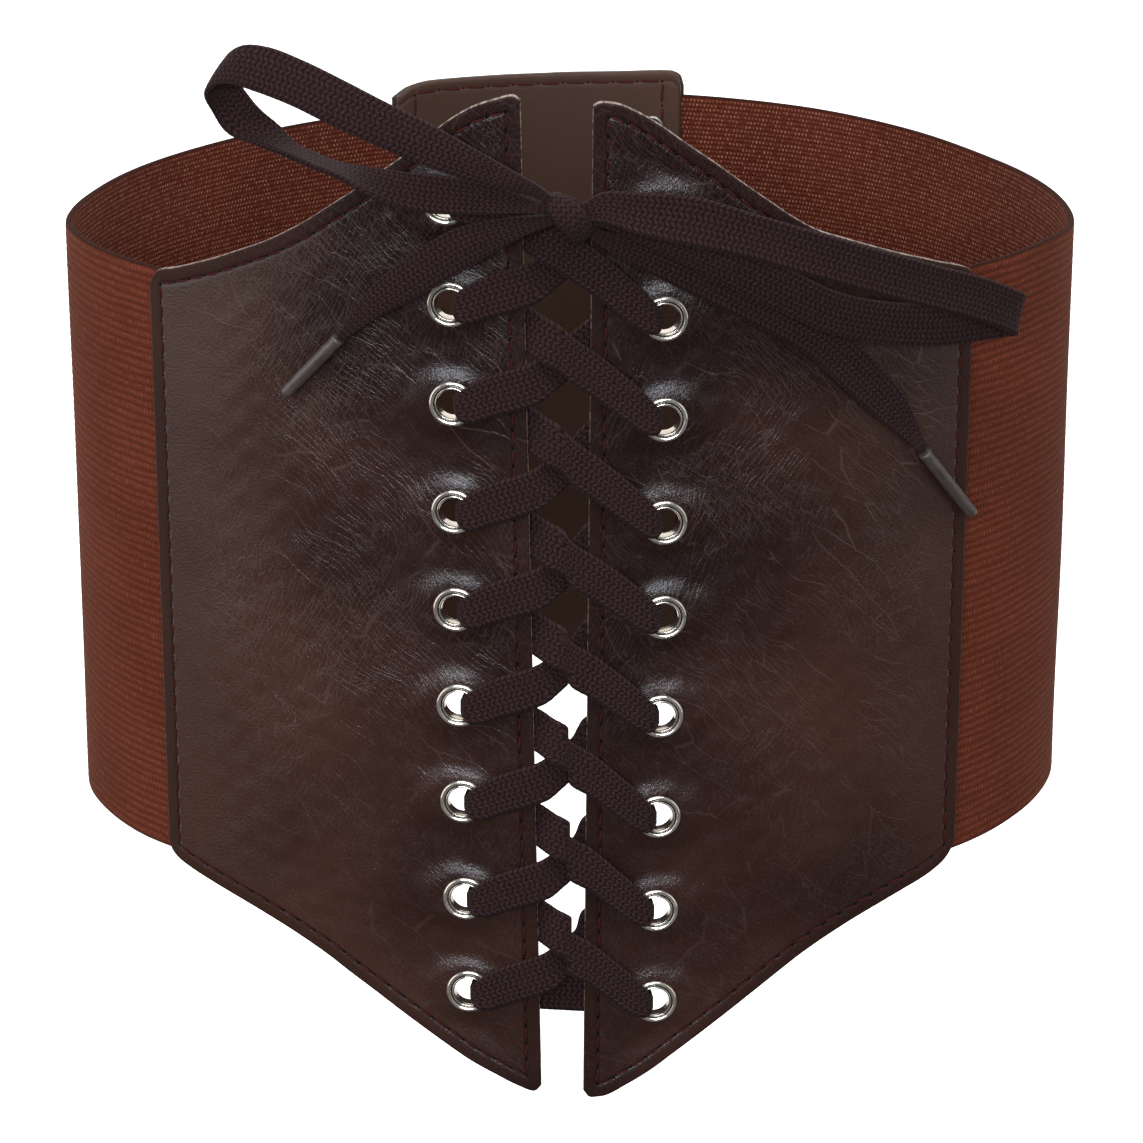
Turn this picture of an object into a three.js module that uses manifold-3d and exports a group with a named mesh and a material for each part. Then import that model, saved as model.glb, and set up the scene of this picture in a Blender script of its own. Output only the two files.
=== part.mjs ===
// Wide elastic waist belt with two laced front panels.
// Millimetres, +Z up, the front of the belt faces -Y, +X is on the right seen from the front.
// The origin is the middle of the waist opening, half way up the elastic.
import * as THREE from 'three';
import { mergeVertices } from 'three/addons/utils/BufferGeometryUtils.js';
import Module from 'manifold-3d';

// ---------------------------------------------------------------- driving dimensions
const HALF_WIDTH = 114;        // plan section, outer face of the elastic, side to side
const FRONT_DEPTH = 70;        // widest section to the front of the plan section
const BACK_DEPTH = 100;        // widest section to the back
const WIDEST_Y = -15;          // where the widest section lies
const TAPER = 0.993;           // plan section at the lower rim against the upper rim
const RIM_HEIGHT = 68;         // nominal height of each elastic rim above and below the origin

const GAP = 0.3;               // clearance that touching pieces keep
const ELASTIC_THICK = 1.6;
const PANEL_IN = 0.3;          // panel, distance of its inner face outside the elastic's outer face
const PANEL_OUT = 2.3;
const TAB_IN_FACE = -3.8;      // inner tab lies inside the elastic
const TAB_IN_BACK = -1.9;
const TAB_OUT_BACK = 0.3;      // outer tab lies outside it
const TAB_OUT_FACE = 2.1;

const EYELET_HOLE = 3.0;       // radius of the opening
const EYELET_FLANGE = 5.0;     // radius of the rolled front flange
const EYELET_BACK = 4.3;       // radius of the clenched back
const PANEL_HOLE = 3.6;        // radius of the hole punched in the panel

const LACE_THICK = 1.3;

const LEATHER = { color: 0x3b2a26, roughness: 0.34, metalness: 0.0 };
const TAB_LEATHER = { color: 0x3f2f27, roughness: 0.6, metalness: 0.0 };
const ELASTIC = { color: 0x63301d, roughness: 0.85, metalness: 0.0 };
const LACE = { color: 0x2e2220, roughness: 0.9, metalness: 0.0 };
const NICKEL = { color: 0xd9d7d2, roughness: 0.18, metalness: 1.0 };
const TIP_PLASTIC = { color: 0x3a3431, roughness: 0.3, metalness: 0.0 };

// Panel edges. across: share of the panel's width from the laced edge to the elastic.
const PANEL_LEFT = {
  lacedEdge: { sTop: -10.4, sBottom: -6.4 },
  sideEdge: { sTop: -96.4, sBottom: -96.3 },
  columns: [ // across, zTop, zBottom
    [0.000, 116.0, -113.8], [0.018, 117.0, -115.3], [0.060, 116.1, -114.0], [0.112, 114.5, -111.6],
    [0.176, 111.2, -108.4], [0.240, 106.6, -104.4], [0.300, 102.3, -100.5], [0.358, 98.6, -96.7],
    [0.420, 94.5, -92.6], [0.480, 90.9, -88.9], [0.540, 87.2, -85.2], [0.600, 84.0, -82.1],
    [0.660, 81.2, -79.4], [0.733, 78.4, -76.6], [0.800, 75.9, -74.4], [0.870, 73.6, -72.3],
    [0.930, 71.8, -70.5], [0.965, 71.0, -69.2], [0.987, 69.4, -67.8], [1.000, 66.6, -65.6],
  ],
};
const PANEL_RIGHT = {
  lacedEdge: { sTop: 4.8, sBottom: 2.9 },
  sideEdge: { sTop: 91.6, sBottom: 91.4 },
  columns: [ // across, zTop, zBottom
    [0.000, 114.8, -115.0], [0.018, 115.6, -116.8], [0.048, 115.4, -116.6], [0.112, 113.1, -113.8],
    [0.170, 109.9, -110.6], [0.229, 106.0, -106.6], [0.288, 102.3, -102.6], [0.358, 97.6, -97.8],
    [0.428, 93.0, -93.0], [0.508, 87.9, -87.7], [0.560, 85.2, -84.5], [0.630, 82.8, -80.9],
    [0.706, 80.3, -77.6], [0.794, 77.5, -74.5], [0.850, 75.9, -72.7], [0.900, 74.4, -71.2],
    [0.945, 73.2, -69.4], [0.970, 72.4, -67.9], [0.990, 71.4, -65.6], [1.000, 70.0, -62.8],
  ],
};

// Rims of the elastic by distance round the belt from the front centre.
const ELASTIC_LEFT = {
  from: -83, to: -313.9,
  rims: [ // s, zTop, zBottom
    [-83, 70.0, -68.4], [-105, 70.2, -68.2], [-130, 70.1, -67.0], [-153, 69.0, -66.8],
    [-177, 68.0, -67.2], [-210, 67.9, -67.8], [-260, 68.6, -68.2], [-314, 70.5, -68.4],
  ],
};
const ELASTIC_RIGHT = {
  from: 78, to: 313.9,
  rims: [ // s, zTop, zBottom
    [78, 70.6, -68.0], [100, 71.3, -66.8], [117, 71.4, -65.2], [138, 69.9, -64.0],
    [164, 69.4, -64.6], [196, 69.1, -65.8], [226, 70.3, -66.8], [260, 71.3, -67.8], [314, 71.6, -68.2],
  ],
};

// The back tab, from its right end round to its left end.
const TAB = {
  from: 287.2, to: 358.6,
  columns: [ // across, zTop, zBottom
    [0.000, 74.2, -70.2], [0.012, 77.0, -72.4], [0.035, 77.8, -73.6], [0.110, 77.6, -73.8], [0.200, 77.2, -73.8], [0.300, 76.95, -73.8], [0.400, 76.8, -73.8],
    [0.500, 76.55, -73.8], [0.600, 76.45, -73.8], [0.690, 76.3, -73.8], [0.780, 76.15, -73.8], [0.890, 75.9, -73.7], [0.945, 75.0, -73.4], [0.985, 73.3, -72.2], [1.000, 72.6, -70.0],
  ],
};
const STUD = { s: 294, z: 64.0, capRadius: 2.8 };

// Eyelet centres, numbered from the top.
const EYELETS_LEFT = [ // s, z
  [-26.2, 93.3], [-25.4, 70.7], [-25.2, 48.3], [-25.0, 23.6], [-24.8, 0.9], [-24.3, -21.6], [-23.7, -44.5], [-23.3, -68.0], [-22.7, -90.7],
];
const EYELETS_RIGHT = [ // s, z
  [20.0, 90.6], [20.1, 67.7], [20.2, 44.9], [20.3, 21.3], [20.3, -0.7], [19.8, -24.0], [19.4, -48.0], [19.0, -70.7], [18.9, -93.1],
];

// One crossing of the lace: out of an eyelet, over its own panel, over the gap, behind the other
// panel and up into the next eyelet from inside. d is the distance outside the elastic's outer face.
// anchor: 0 own eyelet, 1 own laced edge, 2 other laced edge, 3 other eyelet; shift runs along the lace.
const CROSSING_RIGHT = [ // anchor, shift, rise, d, halfHeight, thick, turn (deg)
  [0, 1.15, 0.000, 0.95, 1.6, 1.5, 90], [0, 1.2, 0.002, 3.2, 1.6, 1.5, 90], [0, 2.1, 0.020, 4.45, 2.8, 1.4, 45],
  [0, 4.4, 0.090, 4.8, 4.1, 1.3, 0], [0, 8.0, 0.200, 4.3, 4.9, 1.3, 0], [1, -1.5, 0.400, 3.4, 5.2, 1.3, 0],
  [1, 4.0, 0.550, 3.1, 5.2, 1.3, 0], [2, -6.8, 0.640, 3.0, 5.1, 1.3, 0], [2, -3.4, 0.712, 2.75, 4.9, 1.3, 0], [2, -2.5, 0.730, 2.3, 4.8, 1.3, -30],
  [2, -0.5, 0.768, -0.5, 4.8, 1.3, -30], [2, 1.5, 0.800, -0.95, 5.0, 1.3, 0], [2, 6.0, 0.880, -1.3, 5.0, 1.3, 0],
  [3, -5.0, 0.970, -1.75, 4.2, 1.3, 0], [3, -2.3, 0.996, -1.75, 2.6, 1.4, 45], [3, -1.2, 1.000, -0.6, 1.7, 1.5, 90], [3, -1.15, 1.000, 0.6, 1.6, 1.5, 90],
];
const CROSSING_LEFT = [ // anchor, shift, rise, d, halfHeight, thick, turn (deg)
  [0, 1.15, 0.000, 0.95, 1.6, 1.5, 90], [0, 1.2, 0.002, 3.2, 1.6, 1.5, 90], [0, 2.1, 0.010, 4.45, 2.8, 1.4, 45],
  [0, 4.4, 0.050, 4.7, 4.1, 1.3, 0], [0, 8.0, 0.120, 4.2, 4.6, 1.3, 0], [1, -1.0, 0.225, 3.35, 4.7, 1.3, 0],
  [1, 0.6, 0.250, 3.1, 4.7, 1.3, -20], [1, 2.8, 0.283, 1.05, 4.5, 1.3, -30], [1, 4.6, 0.350, 0.5, 4.8, 1.3, 0], [1, 7.6, 0.465, 0.25, 5.0, 1.3, 0],
  [2, -0.6, 0.690, -0.85, 5.0, 1.3, 0], [2, 5.0, 0.820, -1.2, 5.0, 1.3, 0],
  [3, -5.0, 0.970, -1.75, 4.2, 1.3, 0], [3, -2.3, 0.996, -1.75, 2.6, 1.4, 45], [3, -1.2, 1.000, -0.6, 1.7, 1.5, 90], [3, -1.15, 1.000, 0.6, 1.6, 1.5, 90],
];
// The lace's middle runs straight across inside, between the two lowest eyelets.
const BOTTOM_BAR = [ // anchor, shift, rise, d, halfHeight, thick, turn
  [0, 1.15, 0, 0.6, 1.6, 1.5, -90], [0, 1.2, 0, -0.6, 1.7, 1.5, -90], [0, 2.3, 0.00, -1.75, 2.6, 1.4, -45], [0, 5.0, 0.1, -1.8, 4.0, 1.3, 0],
  [1, -4.0, 0.30, -1.55, 4.6, 1.3, 0], [1, 4.5, 0.50, -1.6, 4.7, 1.3, 0], [2, 4.0, 0.70, -1.55, 4.6, 1.3, 0],
  [3, -5.0, 0.90, -1.8, 4.0, 1.3, 0], [3, -2.3, 1, -1.75, 2.6, 1.4, 45], [3, -1.2, 1, -0.6, 1.7, 1.5, 90], [3, -1.15, 1, 0.6, 1.6, 1.5, 90],
];
// From the top eyelets to the knot, under the bow.
const LEAD = [ // shift from the eyelet, share of the way, d, halfHeight, thick, turn
  [1.15, 0, 0.95, 1.6, 1.5, 90], [1.2, 0, 3.2, 1.6, 1.5, 90], [2.1, 0, 4.4, 2.8, 1.4, 45], [0, 0.21, 4.7, 3.6, 1.3, 0],
  [0, 0.40, 4.1, 3.6, 1.3, 0], [0, 0.60, 3.6, 2.6, 1.3, 0], [0, 0.76, 4.2, 1.9, 1.3, 0],
];

// The bow, as sections across the flat lace.
const BOW_LOOP_LEFT = [ // x, y, z, half-width vector x, y, z
  [-6.4, -94.8, 98.2, 0.3, 0.0, 1.3], [-11.5, -96.5, 101.0, 0.4, 0.0, 2.0], [-21.5, -98.0, 105.6, 0.7, 0.0, 3.6], [-30.5, -98.0, 109.7, 1.4, 0.0, 4.3],
  [-39.9, -97.0, 113.9, 1.6, 0.0, 4.5], [-49.0, -95.0, 117.9, 1.6, 0.0, 4.8], [-57.0, -92.0, 121.1, 1.5, 0.0, 4.85], [-64.5, -88.8, 123.2, 1.5, 0.0, 4.85],
  [-70.2, -85.6, 123.5, 1.8, 0.0, 4.25], [-73.2, -82.9, 121.9, 2.3, 0.3, 3.8], [-74.7, -79.6, 118.9, 2.7, 0.2, 3.8], [-73.4, -76.6, 114.6, 2.8, 0.0, 3.6],
  [-69.8, -76.3, 109.2, 2.9, 0.0, 3.4], [-64.0, -77.0, 105.4, 1.8, 3.3, 1.3], [-59.9, -78.4, 103.0, 0.8, 4.2, 0.1], [-54.7, -81.0, 101.2, 0.4, 4.45, 0.0],
  [-48.8, -84.5, 99.9, 0.2, 4.5, 0.2], [-42.4, -88.0, 98.6, 0.5, 3.7, 1.8], [-36.2, -90.0, 97.5, 0.8, 2.2, 3.2], [-30.0, -91.4, 97.0, 0.8, 0.6, 4.0],
  [-22.3, -93.0, 96.7, 0.9, 0.0, 3.8], [-13.6, -94.2, 96.0, 0.6, 0.0, 2.6], [-7.0, -94.4, 94.9, 0.3, 0.0, 1.2],
];
const BOW_LOOP_RIGHT = [ // x, y, z, half-width vector x, y, z
  [6.6, -95.6, 95.2, 0.1, 0.0, 3.3], [14.7, -98.0, 94.5, 0.3, 0.0, 4.4], [25.6, -99.0, 92.6, 0.7, 0.0, 4.6], [37.7, -98.0, 89.6, 1.1, 0.0, 4.6],
  [50.4, -95.5, 85.3, 1.3, 0.0, 4.7], [64.3, -90.5, 79.8, 1.2, 0.0, 4.7], [76.7, -84.5, 74.6, 1.1, 0.0, 4.7], [88.3, -77.6, 69.4, 0.9, 0.0, 4.8],
  [94.9, -73.0, 65.6, 0.8, 0.0, 4.8], [97.3, -69.6, 63.3, 0.8, 0.0, 4.8], [95.2, -67.2, 62.2, 0.7, 0.0, 4.8], [89.7, -69.6, 62.2, 0.2, 0.0, 4.9],
  [78.4, -75.8, 62.9, -0.2, 0.0, 4.9], [67.3, -81.2, 65.2, 0.3, 0.0, 4.8], [56.4, -85.7, 68.8, 0.9, 0.0, 4.7], [46.0, -89.2, 74.6, 1.3, 0.0, 4.6],
  [33.8, -91.8, 81.2, 1.4, 0.0, 4.2], [19.8, -93.2, 87.4, 0.9, 0.0, 2.9], [8.6, -93.6, 91.6, 0.4, 0.0, 1.8],
];
const BOW_TAIL_LEFT = [ // x, y, z, half-width vector x, y, z
  [-6.2, -93.2, 91.4, -0.6, 0.0, 1.4], [-12.2, -92.6, 89.6, -1.2, 0.0, 2.4], [-22.1, -90.0, 85.0, -2.2, 0.2, 3.8], [-29.1, -87.9, 80.3, -2.6, 0.3, 3.7],
  [-36.1, -85.7, 74.9, -2.8, 0.4, 3.0], [-42.6, -83.7, 69.5, -2.2, 0.4, 1.9], [-47.0, -82.9, 64.8, -1.2, 0.1, 0.9], [-49.2, -82.8, 62.6, -0.7, 0.0, 0.6],
];
const BOW_TAIL_RIGHT = [ // x, y, z, half-width vector x, y, z
  [6.4, -92.2, 87.6, 0.7, 0.1, 1.4], [13.0, -91.6, 85.4, 1.7, 0.1, 2.7], [25.7, -88.4, 79.1, 2.0, 0.2, 4.1], [39.9, -84.7, 70.8, 2.2, 0.4, 4.0],
  [53.2, -80.7, 61.9, 3.0, 0.9, 3.3], [63.3, -76.9, 51.3, 3.4, 1.2, 2.8], [69.8, -74.0, 43.5, 2.9, 1.2, 2.3], [74.6, -71.9, 36.5, 1.6, 0.7, 1.0],
  [76.9, -71.8, 33.2, 0.8, 0.4, 0.6],
];
const KNOT = { x: 0.1, y: -93.4, z: 92.8, halfX: 4.4, halfY: 3.9, halfZ: 6.2, lean: -24 };
const AGLET_LEFT = { from: [-49.7, -82.7, 62.1], to: [-61.6, -78.3, 48.2], radius: 1.5 };
const AGLET_RIGHT = { from: [77.4, -71.6, 32.3], to: [88.9, -64.1, 15.4], radius: 1.5 };

// ---------------------------------------------------------------- plan section
const ARC = (() => {
  const steps = 1440;
  const rows = [{ angle: 0, s: 0 }];
  let last = [0, -FRONT_DEPTH];
  let s = 0;
  for (let i = 1; i <= steps; i++) {
    const angle = (Math.PI * i) / steps;
    const depth = Math.cos(angle) > 0 ? FRONT_DEPTH : BACK_DEPTH;
    const at = [HALF_WIDTH * Math.sin(angle), -depth * Math.cos(angle)];
    s += Math.hypot(at[0] - last[0], at[1] - last[1]);
    rows.push({ angle, s });
    last = at;
  }
  return rows;
})();
const HALF_GIRTH = ARC[ARC.length - 1].s;

function planAngle(s) {
  let t = s;
  while (t > HALF_GIRTH) t -= 2 * HALF_GIRTH;
  while (t < -HALF_GIRTH) t += 2 * HALF_GIRTH;
  const want = Math.abs(t);
  let low = 0;
  let high = ARC.length - 1;
  while (high - low > 1) {
    const middle = (low + high) >> 1;
    if (ARC[middle].s <= want) low = middle; else high = middle;
  }
  const share = (want - ARC[low].s) / (ARC[high].s - ARC[low].s);
  return Math.sign(t || 1) * (ARC[low].angle + share * (ARC[high].angle - ARC[low].angle));
}

function planFrame(s) {
  const angle = planAngle(s);
  const depth = Math.cos(angle) > 0 ? FRONT_DEPTH : BACK_DEPTH;
  const tangent = new THREE.Vector3(HALF_WIDTH * Math.cos(angle), depth * Math.sin(angle), 0).normalize();
  const normal = new THREE.Vector3(tangent.y, -tangent.x, 0);
  return { angle, depth, tangent, normal };
}

// A point at s round the belt, height z and distance d outside the elastic's outer face.
function onBelt(s, z, d) {
  const { angle, depth, normal } = planFrame(s);
  const scale = 1 + (TAPER - 1) * (RIM_HEIGHT - z) / (2 * RIM_HEIGHT);
  return new THREE.Vector3(HALF_WIDTH * Math.sin(angle) * scale, WIDEST_Y - depth * Math.cos(angle) * scale, z)
    .addScaledVector(normal, d);
}

const lerp = (a, b, t) => a + (b - a) * t;
function lookup(rows, key, column) {
  const up = rows[rows.length - 1][0] > rows[0][0] ? 1 : -1;
  for (let i = 1; i < rows.length; i++) {
    if (up * key <= up * rows[i][0] || i === rows.length - 1) {
      const t = (key - rows[i - 1][0]) / (rows[i][0] - rows[i - 1][0]);
      return lerp(rows[i - 1][column], rows[i][column], Math.min(1, Math.max(0, t)));
    }
  }
  return rows[0][column];
}

// ---------------------------------------------------------------- closed shapes
function geometryOf(points, faces) {
  const geometry = new THREE.BufferGeometry();
  const flat = new Float32Array(points.length * 3);
  points.forEach((p, i) => { flat[3 * i] = p.x; flat[3 * i + 1] = p.y; flat[3 * i + 2] = p.z; });
  geometry.setAttribute('position', new THREE.BufferAttribute(flat, 3));
  geometry.setIndex(faces.flat());
  if (volumeOf(geometry) < 0) geometry.setIndex(faces.map(([a, b, c]) => [a, c, b]).flat());
  geometry.computeVertexNormals();
  return geometry;
}

function volumeOf(geometry) {
  const p = geometry.getAttribute('position');
  const index = geometry.getIndex().array;
  const [a, b, c] = [new THREE.Vector3(), new THREE.Vector3(), new THREE.Vector3()];
  let six = 0;
  for (let i = 0; i < index.length; i += 3) {
    a.fromBufferAttribute(p, index[i]);
    b.fromBufferAttribute(p, index[i + 1]);
    c.fromBufferAttribute(p, index[i + 2]);
    six += a.dot(b.clone().cross(c));
  }
  return six;
}

// A wall between an inner and an outer face, both given on the same grid.
function wall(inner, outer) {
  const nu = inner.length;
  const nv = inner[0].length;
  const points = [...inner.flat(), ...outer.flat()];
  const id = (side, u, v) => side * nu * nv + u * nv + v;
  const faces = [];
  const quad = (a, b, c, d) => faces.push([a, b, c], [a, c, d]);
  for (let u = 0; u + 1 < nu; u++) {
    for (let v = 0; v + 1 < nv; v++) {
      quad(id(0, u, v), id(0, u + 1, v), id(0, u + 1, v + 1), id(0, u, v + 1));
      quad(id(1, u, v), id(1, u, v + 1), id(1, u + 1, v + 1), id(1, u + 1, v));
    }
    quad(id(0, u, 0), id(1, u, 0), id(1, u + 1, 0), id(0, u + 1, 0));
    quad(id(0, u, nv - 1), id(0, u + 1, nv - 1), id(1, u + 1, nv - 1), id(1, u, nv - 1));
  }
  for (let v = 0; v + 1 < nv; v++) {
    quad(id(0, 0, v), id(0, 0, v + 1), id(1, 0, v + 1), id(1, 0, v));
    quad(id(0, nu - 1, v), id(1, nu - 1, v), id(1, nu - 1, v + 1), id(0, nu - 1, v + 1));
  }
  return geometryOf(points, faces);
}

// A flat lace through sections: centre, half-width vector, half-thickness vector.
function ribbon(sections, corners = 4) {
  const outline = corners === 4
    ? [[-1, -1], [1, -1], [1, 1], [-1, 1]]
    : [[-1, 0], [-0.86, -1], [0.86, -1], [1, 0], [0.86, 1], [-0.86, 1]];
  const n = outline.length;
  const points = [];
  sections.forEach(({ centre, across, through }) => {
    outline.forEach(([w, t]) => points.push(centre.clone().addScaledVector(across, w).addScaledVector(through, t)));
  });
  const faces = [];
  for (let i = 0; i + 1 < sections.length; i++) {
    for (let k = 0; k < n; k++) {
      const [a, b] = [i * n + k, i * n + (k + 1) % n];
      faces.push([a, b, b + n], [a, b + n, a + n]);
    }
  }
  for (let k = 1; k + 1 < n; k++) {
    faces.push([0, k + 1, k]);
    const e = (sections.length - 1) * n;
    faces.push([e, e + k, e + k + 1]);
  }
  return geometryOf(points, faces);
}

const wasm = await Module();
wasm.setup();
function solidOf(geometry) {
  const bare = geometry.clone();
  bare.deleteAttribute('normal');
  if (bare.getAttribute('uv')) bare.deleteAttribute('uv');
  const merged = mergeVertices(bare, 1e-4);
  return new wasm.Manifold(new wasm.Mesh({
    numProp: 3,
    vertProperties: new Float32Array(merged.getAttribute('position').array),
    triVerts: new Uint32Array(merged.getIndex().array),
  }));
}
function geometryFrom(solid) {
  const mesh = solid.getMesh();
  const geometry = new THREE.BufferGeometry();
  geometry.setAttribute('position', new THREE.BufferAttribute(new Float32Array(mesh.vertProperties), 3));
  geometry.setIndex(new THREE.BufferAttribute(new Uint32Array(mesh.triVerts), 1));
  geometry.computeVertexNormals();
  return geometry;
}

// ---------------------------------------------------------------- pieces
const belt = new THREE.Group();
function add(name, geometry, look) {
  const mesh = new THREE.Mesh(geometry, new THREE.MeshStandardMaterial(look));
  mesh.name = name;
  belt.add(mesh);
  return mesh;
}

// A panel's grid is straight from its lower edge to its upper one.
function panelGrid(panel, d) {
  const tall = 118;
  return panel.columns.map(([across, zTop, zBottom]) => [0, 1, 2, 3].map((row) => {
    const z = lerp(zBottom, zTop, row / 3);
    const high = (z + tall) / (2 * tall);
    const sLaced = lerp(panel.lacedEdge.sBottom, panel.lacedEdge.sTop, high);
    const sSide = lerp(panel.sideEdge.sBottom, panel.sideEdge.sTop, high);
    return onBelt(lerp(sLaced, sSide, across), z, d);
  }));
}
const lacedEdgeAt = (panel, z) => lerp(panel.lacedEdge.sBottom, panel.lacedEdge.sTop, (z + 118) / 236);

function alongNormal(object, s, z, d) {
  const { normal } = planFrame(s);
  object.quaternion.setFromUnitVectors(new THREE.Vector3(0, 1, 0), normal);
  object.position.copy(onBelt(s, z, d));
}

function frontPanel(panel, eyelets) {
  let solid = solidOf(wall(panelGrid(panel, PANEL_IN), panelGrid(panel, PANEL_OUT)));
  eyelets.forEach(([s, z]) => {
    const punch = new THREE.Mesh(new THREE.CylinderGeometry(PANEL_HOLE, PANEL_HOLE, 12, 14));
    alongNormal(punch, s, z, 1.3);
    punch.updateMatrix();
    solid = solid.subtract(solidOf(punch.geometry.clone().applyMatrix4(punch.matrix)));
  });
  return geometryFrom(solid);
}
add('front_panel_left', frontPanel(PANEL_LEFT, EYELETS_LEFT), LEATHER);
add('front_panel_right', frontPanel(PANEL_RIGHT, EYELETS_RIGHT), LEATHER);

function elasticBand({ from, to, rims }) {
  const columns = 34;
  const grid = (d) => Array.from({ length: columns + 1 }, (_, i) => {
    const s = lerp(from, to, i / columns);
    return [onBelt(s, lookup(rims, s, 2), d), onBelt(s, lookup(rims, s, 1), d)];
  });
  return wall(grid(-ELASTIC_THICK), grid(0));
}
add('elastic_left', elasticBand(ELASTIC_LEFT), ELASTIC);
add('elastic_right', elasticBand(ELASTIC_RIGHT), ELASTIC);

function backTab(inner, outer, drop = 0) {
  const grid = (d) => TAB.columns.map(([across, zTop, zBottom]) => {
    const s = lerp(TAB.from, TAB.to, across);
    return [onBelt(s, zBottom, d), onBelt(s, zTop - drop, d)];
  });
  return wall(grid(inner), grid(outer));
}
add('back_tab_inner', backTab(TAB_IN_FACE, TAB_IN_BACK), TAB_LEATHER);
add('back_tab_outer', backTab(TAB_OUT_BACK, TAB_OUT_FACE, 1.25), LEATHER);

// A stud sits on the tab's inner face: a domed cap, d measured towards the waist.
const studCap = new THREE.LatheGeometry([
  [0, 0], [STUD.capRadius, 0], [STUD.capRadius, 0.5], [STUD.capRadius * 0.8, 1.0], [0, 1.15],
].map(([r, h]) => new THREE.Vector2(r, h)), 14);
const stud = add('back_stud', mergeVertices((studCap.deleteAttribute('normal'), studCap.deleteAttribute('uv'), studCap), 1e-4), NICKEL);
{
  const { normal } = planFrame(STUD.s);
  stud.quaternion.setFromUnitVectors(new THREE.Vector3(0, 1, 0), normal.clone().negate());
  stud.position.copy(onBelt(STUD.s, STUD.z, TAB_IN_FACE - GAP));
}

// Eyelets: one turned ring, a rolled flange in front, a barrel through the panel, a clenched back.
function eyelet() {
  const front = PANEL_OUT + GAP;
  const back = PANEL_IN - GAP;
  const profile = [
    [EYELET_HOLE, back - 0.45], [EYELET_BACK, back], [3.4, back],
    [3.4, front], [EYELET_FLANGE, front], [EYELET_FLANGE - 0.9, front + 0.8], [EYELET_HOLE, front + 0.45],
    [EYELET_HOLE, back - 0.45],
  ].map(([r, d]) => new THREE.Vector2(r, d));
  const turned = new THREE.LatheGeometry(profile, 12);
  turned.deleteAttribute('normal');
  turned.deleteAttribute('uv');
  const ring = mergeVertices(turned, 1e-4);
  if (volumeOf(ring) < 0) {
    const index = ring.getIndex().array;
    for (let i = 0; i < index.length; i += 3) [index[i + 1], index[i + 2]] = [index[i + 2], index[i + 1]];
  }
  return ring;
}
[['left', EYELETS_LEFT], ['right', EYELETS_RIGHT]].forEach(([side, centres]) => {
  centres.forEach(([s, z], i) => {
    const ring = add(`eyelet_${side}_${i + 1}`, eyelet(), NICKEL);
    alongNormal(ring, s, z, 0);
  });
});

// ---------------------------------------------------------------- the lace
function sectionAt(s, z, d, halfHeight, thick, turn, way) {
  const { tangent, normal } = planFrame(s);
  const a = THREE.MathUtils.degToRad(turn);
  const through = normal.clone().multiplyScalar(Math.cos(a)).addScaledVector(tangent, -way * Math.sin(a));
  return {
    centre: onBelt(s, z, d),
    across: new THREE.Vector3(0, 0, halfHeight),
    through: through.multiplyScalar(thick / 2),
  };
}

function crossing(rows, from, to, ownPanel, otherPanel) {
  const way = Math.sign(to[0] - from[0]);
  return ribbon(rows.map(([anchor, shift, rise, d, halfHeight, thick, turn]) => {
    const z = lerp(from[1], to[1], rise);
    const base = [from[0], lacedEdgeAt(ownPanel, z), lacedEdgeAt(otherPanel, z), to[0]][anchor];
    return sectionAt(base + way * shift, z, d, halfHeight, thick, turn, way);
  }));
}
for (let i = 2; i <= 9; i++) {
  add(`lace_left_${i}`, crossing(CROSSING_LEFT, EYELETS_LEFT[i - 1], EYELETS_RIGHT[i - 2], PANEL_LEFT, PANEL_RIGHT), LACE);
  add(`lace_right_${i}`, crossing(CROSSING_RIGHT, EYELETS_RIGHT[i - 1], EYELETS_LEFT[i - 2], PANEL_RIGHT, PANEL_LEFT), LACE);
}
add('lace_bottom_bar', crossing(BOTTOM_BAR, EYELETS_LEFT[8], EYELETS_RIGHT[8], PANEL_LEFT, PANEL_RIGHT), LACE);

function lead(from, sKnot, zKnot) {
  const way = Math.sign(sKnot - from[0]);
  return ribbon(LEAD.map(([shift, share, d, halfHeight, thick, turn]) => sectionAt(
    lerp(from[0], sKnot, share) + way * shift, lerp(from[1], zKnot, share), d, halfHeight, thick, turn, way)));
}
add('lace_lead_left', lead(EYELETS_LEFT[0], 0, 91), LACE);
add('lace_lead_right', lead(EYELETS_RIGHT[0], 0, 91.5), LACE);

function bowRun(rows) {
  const centres = rows.map(([x, y, z]) => new THREE.Vector3(x, y, z));
  return ribbon(rows.map(([x, y, z, wx, wy, wz], i) => {
    const run = centres[Math.min(i + 1, rows.length - 1)].clone().sub(centres[Math.max(i - 1, 0)]).normalize();
    const across = new THREE.Vector3(wx, wy, wz);
    const through = new THREE.Vector3().crossVectors(run, across).normalize().multiplyScalar(LACE_THICK / 2);
    return { centre: centres[i], across, through };
  }), 6);
}
add('bow_loop_left', bowRun(BOW_LOOP_LEFT), LACE);
add('bow_loop_right', bowRun(BOW_LOOP_RIGHT), LACE);
add('bow_tail_left', bowRun(BOW_TAIL_LEFT), LACE);
add('bow_tail_right', bowRun(BOW_TAIL_RIGHT), LACE);

const knotBall = new THREE.SphereGeometry(1, 12, 8);
knotBall.deleteAttribute('normal');
knotBall.deleteAttribute('uv');
const knot = add('bow_knot', mergeVertices(knotBall.scale(KNOT.halfX, KNOT.halfY, KNOT.halfZ), 1e-4), LACE);
knot.position.set(KNOT.x, KNOT.y, KNOT.z);
knot.rotation.y = THREE.MathUtils.degToRad(KNOT.lean);

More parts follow.
